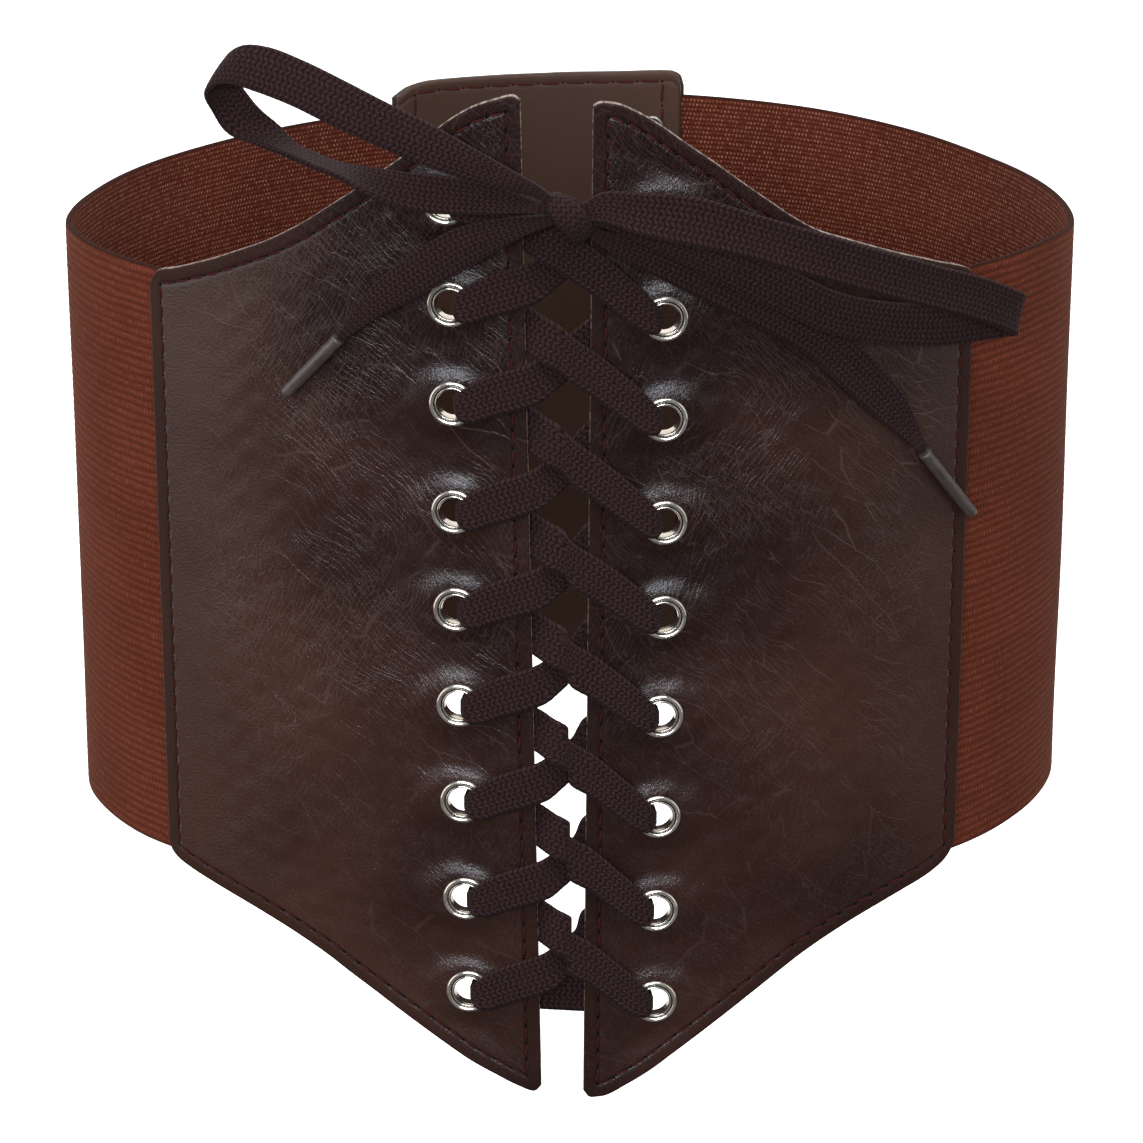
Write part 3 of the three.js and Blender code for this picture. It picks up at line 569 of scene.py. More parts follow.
# ------------------------------------------------------------------ tables of the construction, in mm
PANEL_IN, PANEL_OUT = 0.3, 2.3
PANELS = {
    "left": {
        "laced": (-10.4, -6.4), "side": (-96.4, -96.3),
        "columns": [
            (0.000, 116.0, -113.8), (0.018, 117.0, -115.3), (0.060, 116.1, -114.0), (0.112, 114.5, -111.6),
            (0.176, 111.2, -108.4), (0.240, 106.6, -104.4), (0.300, 102.3, -100.5), (0.358, 98.6, -96.7),
            (0.420, 94.5, -92.6), (0.480, 90.9, -88.9), (0.540, 87.2, -85.2), (0.600, 84.0, -82.1),
            (0.660, 81.2, -79.4), (0.733, 78.4, -76.6), (0.800, 75.9, -74.4), (0.870, 73.6, -72.3),
            (0.930, 71.8, -70.5), (0.965, 71.0, -69.2), (0.987, 69.4, -67.8), (1.000, 66.6, -65.6)],
        "eyelets": [(-26.2, 93.3), (-25.4, 70.7), (-25.2, 48.3), (-25.0, 23.6), (-24.8, 0.9), (-24.3, -21.6), (-23.7, -44.5),
                    (-23.3, -68.0), (-22.7, -90.7)],
    },
    "right": {
        "laced": (4.8, 2.9), "side": (91.6, 91.4),
        "columns": [
            (0.000, 114.8, -115.0), (0.018, 115.6, -116.8), (0.048, 115.4, -116.6), (0.112, 113.1, -113.8),
            (0.170, 109.9, -110.6), (0.229, 106.0, -106.6), (0.288, 102.3, -102.6), (0.358, 97.6, -97.8),
            (0.428, 93.0, -93.0), (0.508, 87.9, -87.7), (0.560, 85.2, -84.5), (0.630, 82.8, -80.9),
            (0.706, 80.3, -77.6), (0.794, 77.5, -74.5), (0.850, 75.9, -72.7), (0.900, 74.4, -71.2),
            (0.945, 73.2, -69.4), (0.970, 72.4, -67.9), (0.990, 71.4, -65.6), (1.000, 70.0, -62.8)],
        "eyelets": [(20.0, 90.6), (20.1, 67.7), (20.2, 44.9), (20.3, 21.3), (20.3, -0.7), (19.8, -24.0), (19.4, -48.0),
                    (19.0, -70.7), (18.9, -93.1)],
    },
}
ELASTICS = {
    "left": {"from": -83.0, "to": -313.9, "rims": [
        (-83, 70.0, -68.4), (-105, 70.2, -68.2), (-130, 70.1, -67.0), (-153, 69.0, -66.8),
        (-177, 68.0, -67.2), (-210, 67.9, -67.8), (-260, 68.6, -68.2), (-314, 70.5, -68.4)]},
    "right": {"from": 78.0, "to": 313.9, "rims": [
        (78, 70.6, -68.0), (100, 71.3, -66.8), (117, 71.4, -65.2), (138, 69.9, -64.0),
        (164, 69.4, -64.6), (196, 69.1, -65.8), (226, 70.3, -66.8), (260, 71.3, -67.8), (314, 71.6, -68.2)]},
}
TAB_FROM, TAB_TO = 287.2, 358.6
TAB_COLUMNS = [
    (0.000, 74.2, -70.2), (0.012, 77.0, -72.4), (0.035, 77.8, -73.6), (0.110, 77.6, -73.8), (0.200, 77.2, -73.8), (0.300, 76.95, -73.8),
    (0.400, 76.8, -73.8), (0.500, 76.55, -73.8), (0.600, 76.45, -73.8), (0.690, 76.3, -73.8), (0.780, 76.15, -73.8), (0.890, 75.9, -73.7),
    (0.945, 75.0, -73.4), (0.985, 73.3, -72.2), (1.000, 72.6, -70.0)]
STUD_S, STUD_Z = 294.0, 64.0
CROSSING_RIGHT = [
    (0, 1.15, 0.000, 0.95, 1.6, 1.5, 90, 0), (0, 1.2, 0.002, 3.2, 1.7, 1.5, 90, 0), (0, 2.1, 0.020, 4.45, 3.2, 1.4, 45, 0),
    (0, 4.4, 0.090, 4.8, 4.6, 1.3, 0, 0), (0, 8.0, 0.200, 4.3, 5.1, 1.3, 0, 0), (1, -1.5, 0.400, 3.4, 5.3, 1.3, 0, 0),
    (1, 4.0, 0.550, 3.1, 5.3, 1.3, 0, 0), (2, -7.5, 0.630, 2.95, 5.2, 1.3, 0, 0.1), (2, -4.2, 0.700, 2.35, 5.1, 1.3, -10, 0.8),
    (2, -1.8, 0.745, 0.90, 5.0, 1.3, -15, 0.9), (2, 0.6, 0.785, -0.50, 5.0, 1.3, -10, 0.4), (2, 3.0, 0.830, -1.15, 5.0, 1.3, 0, 0),
    (2, 6.0, 0.880, -1.3, 5.0, 1.3, 0, 0), (3, -5.0, 0.970, -1.75, 4.2, 1.3, 0, 0), (3, -2.3, 0.996, -1.75, 2.6, 1.4, 45, 0),
    (3, -1.2, 1.000, -0.6, 1.7, 1.5, 90, 0), (3, -1.15, 1.000, 0.6, 1.6, 1.5, 90, 0)]
CROSSING_LEFT = [
    (0, 1.15, 0.000, 0.95, 1.6, 1.5, 90, 0), (0, 1.2, 0.002, 3.2, 1.7, 1.5, 90, 0), (0, 2.1, 0.010, 4.45, 3.2, 1.4, 45, 0),
    (0, 4.4, 0.050, 4.7, 4.4, 1.3, 0, 0), (0, 8.0, 0.120, 4.2, 4.8, 1.3, 0, 0), (1, -1.0, 0.225, 3.45, 4.9, 1.3, 0, 0),
    (1, 0.8, 0.255, 3.20, 4.9, 1.3, -5, 0.15), (1, 3.2, 0.300, 2.00, 4.9, 1.3, -12, 0.7), (1, 5.6, 0.385, 0.90, 5.0, 1.3, -8, 0.5),
    (1, 8.0, 0.480, 0.30, 5.0, 1.3, 0, 0), (2, -0.6, 0.690, -0.85, 5.0, 1.3, 0, 0), (2, 5.0, 0.820, -1.2, 5.0, 1.3, 0, 0),
    (3, -5.0, 0.970, -1.75, 4.2, 1.3, 0, 0), (3, -2.3, 0.996, -1.75, 2.6, 1.4, 45, 0), (3, -1.2, 1.000, -0.6, 1.7, 1.5, 90, 0),
    (3, -1.15, 1.000, 0.6, 1.6, 1.5, 90, 0)]
BOTTOM_BAR = [
    (0, 1.15, 0, 0.6, 1.6, 1.5, -90), (0, 1.2, 0, -0.6, 1.7, 1.5, -90), (0, 2.3, 0.00, -1.75, 2.6, 1.4, -45), (0, 5.0, 0.1, -1.8, 4.0, 1.3, 0),
    (1, -4.0, 0.30, -1.55, 4.6, 1.3, 0), (1, 4.5, 0.50, -1.6, 4.7, 1.3, 0), (2, 4.0, 0.70, -1.55, 4.6, 1.3, 0),
    (3, -5.0, 0.90, -1.8, 4.0, 1.3, 0), (3, -2.3, 1, -1.75, 2.6, 1.4, 45), (3, -1.2, 1, -0.6, 1.7, 1.5, 90), (3, -1.15, 1, 0.6, 1.6, 1.5, 90)]
LEAD = [
    (1.15, 0, 0.95, 1.6, 1.5, 90), (1.2, 0, 3.2, 1.6, 1.5, 90), (2.1, 0, 4.4, 2.8, 1.4, 45), (0, 0.21, 4.7, 3.6, 1.3, 0),
    (0, 0.40, 4.1, 3.6, 1.3, 0), (0, 0.60, 3.6, 2.6, 1.3, 0), (0, 0.76, 4.2, 1.9, 1.3, 0)]
BOW_LOOP_LEFT = [
    (-6.4, -94.8, 98.2, 0.3, 0.0, 1.3), (-11.5, -96.5, 101.0, 0.4, 0.0, 2.0), (-21.5, -98.0, 105.6, 0.7, 0.0, 3.6), (-30.5, -98.0, 109.7, 1.4, 0.0, 4.3),
    (-39.9, -97.0, 113.9, 1.6, 0.0, 4.5), (-49.0, -95.0, 117.9, 1.6, 0.0, 4.8), (-57.0, -92.0, 121.1, 1.5, 0.0, 4.85), (-64.5, -88.8, 123.2, 1.5, 0.0, 4.85),
    (-70.2, -85.6, 123.5, 1.8, 0.0, 4.25), (-73.2, -82.9, 121.9, 2.3, 0.3, 3.8), (-74.7, -79.6, 118.9, 2.7, 0.2, 3.8), (-73.4, -76.6, 114.6, 2.8, 0.0, 3.6),
    (-69.8, -76.3, 109.2, 2.9, 0.0, 3.4), (-64.0, -77.0, 105.4, 1.8, 3.3, 1.3), (-59.9, -78.4, 103.0, 0.8, 4.2, 0.1), (-54.7, -81.0, 101.2, 0.4, 4.45, 0.0),
    (-48.8, -84.5, 99.9, 0.2, 4.5, 0.2), (-42.4, -88.0, 98.6, 0.5, 3.7, 1.8), (-36.2, -90.0, 97.5, 0.8, 2.2, 3.2), (-30.0, -91.4, 97.0, 0.8, 0.6, 4.0),
    (-22.3, -93.0, 96.7, 0.9, 0.0, 3.8), (-13.6, -94.2, 96.0, 0.6, 0.0, 2.6), (-7.0, -94.4, 94.9, 0.3, 0.0, 1.2)]
BOW_LOOP_RIGHT = [
    (6.6, -95.6, 95.2, 0.1, 0.0, 3.3), (14.7, -98.0, 94.6, 0.3, 0.0, 4.6), (25.6, -99.0, 93.2, 0.7, 0.0, 5.4), (37.7, -98.0, 89.8, 1.1, 0.0, 4.8),
    (50.4, -95.5, 85.3, 1.3, 0.0, 4.7), (64.3, -90.5, 79.8, 1.2, 0.0, 4.7), (76.7, -84.5, 74.6, 1.1, 0.0, 4.7), (88.3, -77.6, 69.4, 0.9, 0.0, 4.8),
    (94.9, -73.0, 65.6, 0.8, 0.0, 4.8), (97.3, -69.6, 63.3, 0.8, 0.0, 4.8), (95.2, -67.2, 62.2, 0.7, 0.0, 4.8), (89.7, -69.6, 62.2, 0.2, 0.0, 4.9),
    (78.4, -75.8, 62.9, -0.2, 0.0, 4.9), (67.3, -81.2, 65.2, 0.3, 0.0, 4.8), (56.4, -85.7, 68.8, 0.9, 0.0, 4.7), (46.0, -89.2, 74.6, 1.3, 0.0, 4.6),
    (33.8, -91.8, 81.2, 1.4, 0.0, 4.2), (19.8, -93.2, 87.4, 0.9, 0.0, 2.9), (8.6, -93.6, 91.6, 0.4, 0.0, 1.8)]
BOW_TAIL_LEFT = [
    (-6.2, -93.2, 91.4, -0.6, 0.0, 1.4), (-12.2, -92.6, 89.6, -1.2, 0.0, 2.4), (-22.1, -90.0, 85.0, -2.2, 0.2, 3.8), (-29.1, -87.9, 80.3, -2.6, 0.3, 3.7),
    (-36.1, -85.7, 74.9, -2.8, 0.4, 3.0), (-42.6, -83.7, 69.5, -2.2, 0.4, 1.9), (-47.0, -82.9, 64.8, -1.2, 0.1, 0.9), (-49.2, -82.8, 62.6, -0.7, 0.0, 0.6)]
BOW_TAIL_RIGHT = [
    (6.4, -92.2, 87.6, 0.7, 0.1, 1.4), (13.0, -91.6, 85.4, 1.7, 0.1, 2.7), (25.7, -88.4, 79.1, 2.0, 0.2, 4.1), (39.9, -84.7, 70.8, 2.2, 0.4, 4.0),
    (53.2, -80.7, 61.9, 3.0, 0.9, 3.3), (63.3, -76.9, 51.3, 3.4, 1.2, 2.8), (69.8, -74.0, 43.5, 2.9, 1.2, 2.3), (74.6, -71.9, 36.5, 1.6, 0.7, 1.0),
    (76.9, -71.8, 33.2, 0.8, 0.4, 0.6)]
KNOT = (0.1, -93.4, 92.8)
AGLETS = {"left": ((-49.7, -82.7, 62.1), (-61.6, -78.3, 48.2)), "right": ((77.4, -71.6, 32.3), (88.9, -64.1, 15.4))}
AGLET_RADIUS = 1.5


# ------------------------------------------------------------------ front panels
def laced_at(panel, z):
    return lerp(panel["laced"][1], panel["laced"][0], (np.asarray(z) + 118) / 236)


def side_at(panel, z):
    return lerp(panel["side"][1], panel["side"][0], (np.asarray(z) + 118) / 236)


def panel_relief(side, s, z):
    """how far the leather stands out of its plain wall: puckers at the eyelets, hollows between them, a slow wave"""
    panel = PANELS[side]
    inner = np.abs(s - laced_at(panel, z))  # distance from the laced edge
    out = np.zeros(np.broadcast(s, z).shape)
    for k, (es, ez) in enumerate(panel["eyelets"]):
        reach = abs(es - laced_at(panel, ez))
        dx = inner - reach
        wide = np.where(dx > 0, 15.0, 8.0)
        out = out + 0.32 * np.exp(-((z - ez - 0.10 * np.maximum(dx, 0)) / 6.0) ** 2) * np.exp(-(dx / wide) ** 2)
        r = np.hypot((dx - 0.9) * np.where(dx > 0.9, 0.80, 0.90), z - ez)
        k = np.clip((9.3 - r) / 4.5, 0, 1)
        out = out + 0.98 * k * k * (3 - 2 * k)
    env = np.exp(-((inner - 15.0) / np.where(inner > 15.0, 20.0, 11.0)) ** 2)
    out = out - 1.3 * env
    far = np.clip((inner - 6) / 30, 0, 1) * np.clip((np.abs(side_at(panel, z) - s) - 2) / 22, 0, 1)
    wave = (0.13 * np.sin(s * 0.105 + z * 0.038 + 1.0) * np.sin(z * 0.061 + 0.7 + s * 0.02)
            + 0.08 * np.sin(s * 0.19 - z * 0.10 + 2.2) + 0.05 * np.sin(z * 0.23 + s * 0.09))
    out = out + far * wave
    a = np.clip((s - laced_at(panel, z)) / (side_at(panel, z) - laced_at(panel, z)), 0, 1)
    cols = np.array(panel["columns"])
    rim = np.minimum(np.interp(a, cols[:, 0], cols[:, 1]) - z, z - np.interp(a, cols[:, 0], cols[:, 2]))
    return out * (0.25 + 0.75 * np.clip(rim / 9.0, 0, 1) ** 1.5)


def edge_table(panel):
    return tuple(np.array(c) for c in zip(*panel["columns"]))


def panel_outline(panel, across):
    a, top, low = edge_table(panel)
    width = 88.2
    zt, zb = pchip(a, top, across), pchip(a, low, across)
    h = 0.012
    st = (pchip(a, top, np.minimum(across + h, 1)) - pchip(a, top, np.maximum(across - h, 0))) / (np.minimum(across + h, 1) - np.maximum(across - h, 0)) / width
    sb = (pchip(a, low, np.minimum(across + h, 1)) - pchip(a, low, np.maximum(across - h, 0))) / (np.minimum(across + h, 1) - np.maximum(across - h, 0)) / width
    return zt, zb, np.clip(np.hypot(1, st), 1, 1.6), np.clip(np.hypot(1, sb), 1, 1.6)


NEAR_EDGE = [0, 0.05, 0.16, 0.35, 0.65, 1.1, 1.7, 2.3, 2.75, 3.05, 3.25, 3.4, 3.55, 3.75, 4.05, 4.6, 5.4]


def edge_fall(e, r):
    e = np.minimum(e, r)
    return -r + np.sqrt(np.maximum(r * r - (r - e) ** 2, 0))


def build_panel(side):
    panel = PANELS[side]
    width = 88.2
    near = np.array(NEAR_EDGE)
    inner = np.linspace(near[-1], width - near[-1], 67)[1:-1]
    xs = np.concatenate([near, inner, (width - near)[::-1]])
    across = xs / width
    zt, zb, ct, cb = panel_outline(panel, across)
    middle = np.linspace(0, 1, 176)[1:-1]
    z = np.concatenate([
        zb[:, None] + near[None] * cb[:, None],
        lerp((zb + near[-1] * cb)[:, None], (zt - near[-1] * ct)[:, None], middle[None]),
        (zt[:, None] - near[None] * ct[:, None])[:, ::-1]], 1)
    nu, nv = z.shape
    e = np.minimum(np.minimum(xs, width - xs)[:, None],
                   np.minimum((zt[:, None] - z) / ct[:, None], (z - zb[:, None]) / cb[:, None]))
    s = lerp(laced_at(panel, z), side_at(panel, z), across[:, None])

    # cells over an eyelet hole go, and the vertices round it move onto the punched circle
    sc = 0.25 * (s[:-1, :-1] + s[1:, :-1] + s[:-1, 1:] + s[1:, 1:])
    zc = 0.25 * (z[:-1, :-1] + z[1:, :-1] + z[:-1, 1:] + z[1:, 1:])
    kept = np.ones((nu - 1, nv - 1), bool)
    for es, ez in panel["eyelets"]:
        kept &= np.hypot(sc - es, zc - ez) > 3.75
    gone = ~kept
    touch = np.zeros((nu, nv), bool)
    stay = np.zeros((nu, nv), bool)
    for du, dv in ((0, 0), (0, 1), (1, 0), (1, 1)):
        touch[du:nu - 1 + du, dv:nv - 1 + dv] |= gone
        stay[du:nu - 1 + du, dv:nv - 1 + dv] |= kept
    rim = touch & stay
    for es, ez in panel["eyelets"]:
        r = np.hypot(s - es, z - ez)
        m = rim & (r < 8)
        s = np.where(m, es + (s - es) / np.maximum(r, 1e-6) * 3.75, s)
        z = np.where(m, ez + (z - ez) / np.maximum(r, 1e-6) * 3.75, z)

    relief = panel_relief(side, s, z)
    groove = 0.22 * np.exp(-((e - 3.2) / 0.42) ** 2)
    small = np.zeros_like(s)
    for (ks, kz, ph, amp) in ((0.61, 0.35, 0.3, 0.05), (-0.47, 0.72, 1.9, 0.045), (0.95, -0.80, 2.8, 0.03), (0.22, 1.15, 4.0, 0.03)):
        small += amp * np.sin(ks * s + kz * z + ph + 0.8 * np.sin(0.11 * s - 0.07 * z + ph))
    small *= np.clip((e - 4) / 6, 0, 1) * np.clip((np.abs(side_at(panel, z) - s) - 6) / 30, 0.15, 1)
    d_out = PANEL_OUT + relief + edge_fall(e, 0.45) - groove + small
    d_in = PANEL_IN - edge_fall(e, 0.30) + np.where(np.abs(s) < 72, 0.4, 0.0) * np.clip((72 - np.abs(s)) / 12, 0, 1) * relief
    d_in = np.maximum(d_in, np.where(np.abs(s) > 66, 0.12, -0.35))
    outer = on_belt(s, z, d_out).reshape(-1, 3)
    back = on_belt(s, z, d_in).reshape(-1, 3)
    n = nu * nv
    i, j = np.nonzero(kept)
    ids = np.arange(n).reshape(nu, nv)
    a, b, c, d = ids[i, j], ids[i + 1, j], ids[i + 1, j + 1], ids[i, j + 1]
    face_out = np.stack([a, b, c, d], -1)
    face_in = np.stack([a, d, c, b], -1) + n
    # side walls along every edge that only one kept cell uses
    edges = {}
    for q in (np.stack([a, b], -1), np.stack([b, c], -1), np.stack([c, d], -1), np.stack([d, a], -1)):
        for p, r in q:
            edges[(int(p), int(r))] = True
    wall = [(q, p, p + n, q + n) for (p, q) in edges if (q, p) not in edges]
    quads = np.concatenate([face_out, face_in, np.array(wall)])
    slots = np.concatenate([np.zeros(len(face_out)), np.ones(len(face_in)), np.zeros(len(wall))])
    verts = np.concatenate([outer, back])
    if volume(verts, quads) < 0:
        quads = quads[:, ::-1]
    coords = np.stack([s.ravel(), z.ravel(), e.ravel()], -1)
    used = np.unique(quads)
    remap = np.full(2 * n, -1)
    remap[used] = np.arange(len(used))
    obj = make_mesh(f"panel_{side}", verts[used], remap[quads], None, np.concatenate([coords, coords])[used], (LEATHER, BACKING), slots)
    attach(obj, "root")
    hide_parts(f"front_panel_{side}")
    return obj


def stitches(batch, path_s, path_z, surface, inward, pitch, phase=0.0, radius=0.25):
    """thread over the surface between needle holes; surface gives d for (s, z), inward flips the side that it lies on"""
    p = on_belt(path_s, path_z, surface(path_s, path_z))
    run = np.concatenate([[0], np.cumsum(np.linalg.norm(np.diff(p, axis=0), axis=1))])
    count = max(1, int(round(run[-1] / pitch)))
    pitch = run[-1] / count
    way = -1.0 if inward else 1.0
    for i in range(count):
        jitter = rng.normal(0, 0.04)
        q = (i + np.linspace(0.09, 0.91, 9)) * pitch
        s, z = np.interp(q, run, path_s), np.interp(q, run, path_z)
        t = np.linspace(-1, 1, 9)
        lift = 0.30 * (1 - t ** 4) - 0.22 + jitter * 0.5
        centre = on_belt(s, z, surface(s, z) + way * lift)
        tangent = unit(np.gradient(centre, axis=0))
        normal = plan(s)[3] * way
        side = unit(np.cross(tangent, normal))
        normal = np.cross(side, tangent)
        centre = centre + side * (0.16 * t)[:, None]
        r = radius * np.sqrt(np.maximum(1 - np.abs(t) ** 5, 0.08))
        k = np.arange(7) * 2 * np.pi / 7
        rings = centre[:, None] + r[:, None, None] * (np.cos(k)[None, :, None] * side[:, None] + np.sin(k)[None, :, None] * normal[:, None])
        v, f, tr = tube(rings)
        u = np.repeat(q, 7)
        co = np.stack([np.append(u, [q[0], q[-1]]), np.append(np.tile(k, 9), [0, 0]), np.zeros(len(u) + 2)], -1)
        batch.add(v, f, tr, 0, co)
    # needle holes, slightly sunk rims of dark shadow
    for i in range(count + 1):
        q = min(max(i * pitch, 0.02), run[-1] - 0.02)
        s, z = float(np.interp(q, run, path_s)), float(np.interp(q, run, path_z))
        d = float(surface(np.array([s]), np.array([z]))[0])
        _, _, tangent, normal = plan(s)
        centre = on_belt(s, z, d + way * 0.015)
        k = np.arange(8) * 2 * np.pi / 8
        ring = centre + 0.30 * (np.cos(k)[:, None] * tangent + np.sin(k)[:, None] * np.array([0, 0, 1.0]))
        low = centre - way * normal * 0.25
        v = np.concatenate([ring, low[None], (centre + way * normal * 0.03)[None]])
        kk = np.arange(8)
        tris = np.concatenate([np.stack([np.full(8, 8), (kk + 1) % 8, kk], -1), np.stack([np.full(8, 9), kk, (kk + 1) % 8], -1)])
        _, tris = outward(v, None, tris)
        batch.add(v, None, tris, 1)


def panel_seams(side):
    panel = PANELS[side]
    width, inset = 88.2, 3.2

    def surface(s, z):
        return PANEL_OUT + panel_relief(side, s, z) - 0.20

    def place(x, z):
        return lerp(laced_at(panel, z), side_at(panel, z), x / width), z

    batch = Batch()
    x = np.linspace(inset, width - inset, 160)
    zt, zb, ct, cb = panel_outline(panel, x / width)
    top, low = zt - inset * ct, zb + inset * cb
    stitches(batch, *place(x, top), surface, False, 4.2)
    stitches(batch, *place(x, low), surface, False, 4.2)
    for edge, i in ((inset, 0), (width - inset, -1)):
        z = np.linspace(low[i], top[i], 120)
        stitches(batch, *place(np.full(120, edge), z), surface, False, 4.2)
    obj = batch.build(f"panel_seam_{side}", (THREAD, HOLE))
    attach(obj, "root")
    return obj


for _side in ("left", "right"):
    build_panel(_side)
    panel_seams(_side)


# ------------------------------------------------------------------ elastic bands
def build_elastic(side):
    band = ELASTICS[side]
    rims = np.array(band["rims"], float)
    s = np.linspace(band["from"], band["to"], 84)
    zt, zb = pchip(rims[:, 0], rims[:, 1], s), pchip(rims[:, 0], rims[:, 2], s)
    count = int(round(138.0 / RIB)) * 4
    t = np.linspace(0, 1, count + 1)
    close = np.array([0.0, 0.12, 0.3])
    z = zb[:, None] + (zt - zb)[:, None] * t[None]
    z = np.concatenate([zb[:, None] + close[None], z[:, 1:-1], zt[:, None] - close[None, ::-1]], 1)
    nu, nv = z.shape
    ss = np.repeat(s[:, None], nv, 1)
    e = np.minimum(z - zb[:, None], zt[:, None] - z)
    nominal = lerp(-RIM, RIM, (z - zb[:, None]) / (zt - zb)[:, None])  # ribs stay parallel to the rims
    rib = np.cos(nominal * 2 * np.pi / RIB) * np.clip(e / 1.2, 0, 1)
    slow = 0.10 * np.sin(ss * 0.055 + z * 0.06) + 0.06 * np.sin(ss * 0.13 - z * 0.09 + 1.0)
    slow *= np.clip((np.abs(ss) - 100) / 20, 0, 1) * np.clip((280 - np.abs(ss)) / 15, 0, 1)
    d_out = edge_fall(e, 0.5) + 0.05 * rib - 0.05 + slow
    d_in = -1.6 - edge_fall(e, 0.5) + slow
    outer = on_belt(ss, z, d_out).reshape(-1, 3)
    inner = on_belt(ss, z, d_in).reshape(-1, 3)
    n = nu * nv
    ids = np.arange(n).reshape(nu, nv)
    a, b, c, d = ids[:-1, :-1], ids[1:, :-1], ids[1:, 1:], ids[:-1, 1:]
    face_out = np.stack([a, b, c, d], -1).reshape(-1, 4)
    face_in = np.stack([a, d, c, b], -1).reshape(-1, 4) + n
    wall = []
    for line in (ids[:, 0][::-1], ids[:, -1], ids[0], ids[-1][::-1]):
        wall.append(np.stack([line[:-1], line[:-1] + n, line[1:] + n, line[1:]], -1))
    wall = np.concatenate(wall)
    quads = np.concatenate([face_out, face_in, wall])
    slots = np.concatenate([np.zeros(len(face_out)), np.ones(len(face_in)), np.zeros(len(wall))])
    verts = np.concatenate([outer, inner])
    if volume(verts, quads) < 0:
        quads = quads[:, ::-1]
    coords = np.stack([ss.ravel(), nominal.ravel(), e.ravel()], -1)
    obj = make_mesh(f"band_{side}", verts, quads, None, np.concatenate([coords, coords]), (ELASTIC_OUT, ELASTIC_IN), slots)
    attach(obj, "root")
    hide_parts(f"elastic_{side}")
    return obj


for _side in ("left", "right"):
    build_elastic(_side)


# ------------------------------------------------------------------ back tab
def build_tab(name, node, d_face, d_back, inward, look, drop=0.0):
    cols = np.array(TAB_COLUMNS) - np.array([0.0, drop, 0.0])
    width = TAB_TO - TAB_FROM
    near = np.array([0, 0.06, 0.2, 0.45, 0.8, 1.3, 1.8, 2.1, 2.4, 2.7, 3.1, 3.8, 4.2, 4.5, 4.8, 5.3, 6.2])
    inner = np.linspace(near[-1], width - near[-1], 38)[1:-1]
    xs = np.concatenate([near, inner, (width - near)[::-1]])
    zt, zb = pchip(cols[:, 0], cols[:, 1], xs / width), pchip(cols[:, 0], cols[:, 2], xs / width)
    middle = np.linspace(0, 1, 70)[1:-1]
    z = np.concatenate([zb[:, None] + near[None], lerp((zb + near[-1])[:, None], (zt - near[-1])[:, None], middle[None]),
                        (zt[:, None] - near[None])[:, ::-1]], 1)
    nu, nv = z.shape
    s = np.repeat((TAB_FROM + xs)[:, None], nv, 1)
    ex = np.minimum(xs, width - xs)[:, None]
    ez = np.minimum(zt[:, None] - z, z - zb[:, None])
    e = np.minimum(ex, ez)
    way = -1.0 if inward else 1.0
    seam = np.minimum(np.abs(ex - 4.5), np.abs(ez - 2.4))
    relief = (0.10 * np.sin(s * 0.12 + z * 0.05) * np.sin(z * 0.045 + 1.0) * np.clip((e - 4) / 8, 0, 1)
              - 0.16 * np.exp(-(seam / 0.45) ** 2))
    d_out = d_face + way * (edge_fall(e, 0.7) + relief)
    d_in = d_back - way * edge_fall(e, 0.25)
    outer, back = on_belt(s, z, d_out).reshape(-1, 3), on_belt(s, z, d_in).reshape(-1, 3)
    n = nu * nv
    ids = np.arange(n).reshape(nu, nv)
    a, b, c, d = ids[:-1, :-1], ids[1:, :-1], ids[1:, 1:], ids[:-1, 1:]
    face_out = np.stack([a, b, c, d], -1).reshape(-1, 4)
    face_in = np.stack([a, d, c, b], -1).reshape(-1, 4) + n
    wall = np.concatenate([np.stack([l[:-1], l[:-1] + n, l[1:] + n, l[1:]], -1) for l in (ids[:, 0][::-1], ids[:, -1], ids[0], ids[-1][::-1])])
    quads = np.concatenate([face_out, face_in, wall])
    slots = np.concatenate([np.zeros(len(face_out)), np.ones(len(face_in)), np.zeros(len(wall))])
    verts = np.concatenate([outer, back])
    if volume(verts, quads) < 0:
        quads = quads[:, ::-1]
    shown_edge = np.where(e < 1.4, e, np.maximum(2.0, 3.4 + seam))
    coords = np.stack([s.ravel(), z.ravel(), shown_edge.ravel()], -1)
    obj = make_mesh(name, verts, quads, None, np.concatenate([coords, coords]), (look, BACKING), slots)
    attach(obj, "root")
    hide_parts(node)
    batch = Batch()

    def surface(s, z):
        return np.full(np.shape(s), d_face) - way * 0.14

    x = np.linspace(4.5, width - 4.5, 60)
    top, low = pchip(cols[:, 0], cols[:, 1], x / width) - 2.4, pchip(cols[:, 0], cols[:, 2], x / width) + 2.4
    stitches(batch, TAB_FROM + x, top, surface, inward, 6.0, radius=0.27)
    stitches(batch, TAB_FROM + x, low, surface, inward, 6.0, radius=0.27)
    for at, i in ((4.5, 0), (width - 4.5, -1)):
        zz = np.linspace(low[i], top[i], 80)
        stitches(batch, np.full(80, TAB_FROM + at), zz, surface, inward, 6.0, radius=0.27)
    seams = batch.build(f"{name}_seam", (THREAD, HOLE))
    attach(seams, "root")
    return obj


build_tab("tab_inner", "back_tab_inner", -3.8, -1.9, True, TAB_LEATHER)
build_tab("tab_outer", "back_tab_outer", 2.1, 0.3, False, TAB_LEATHER, drop=1.25)


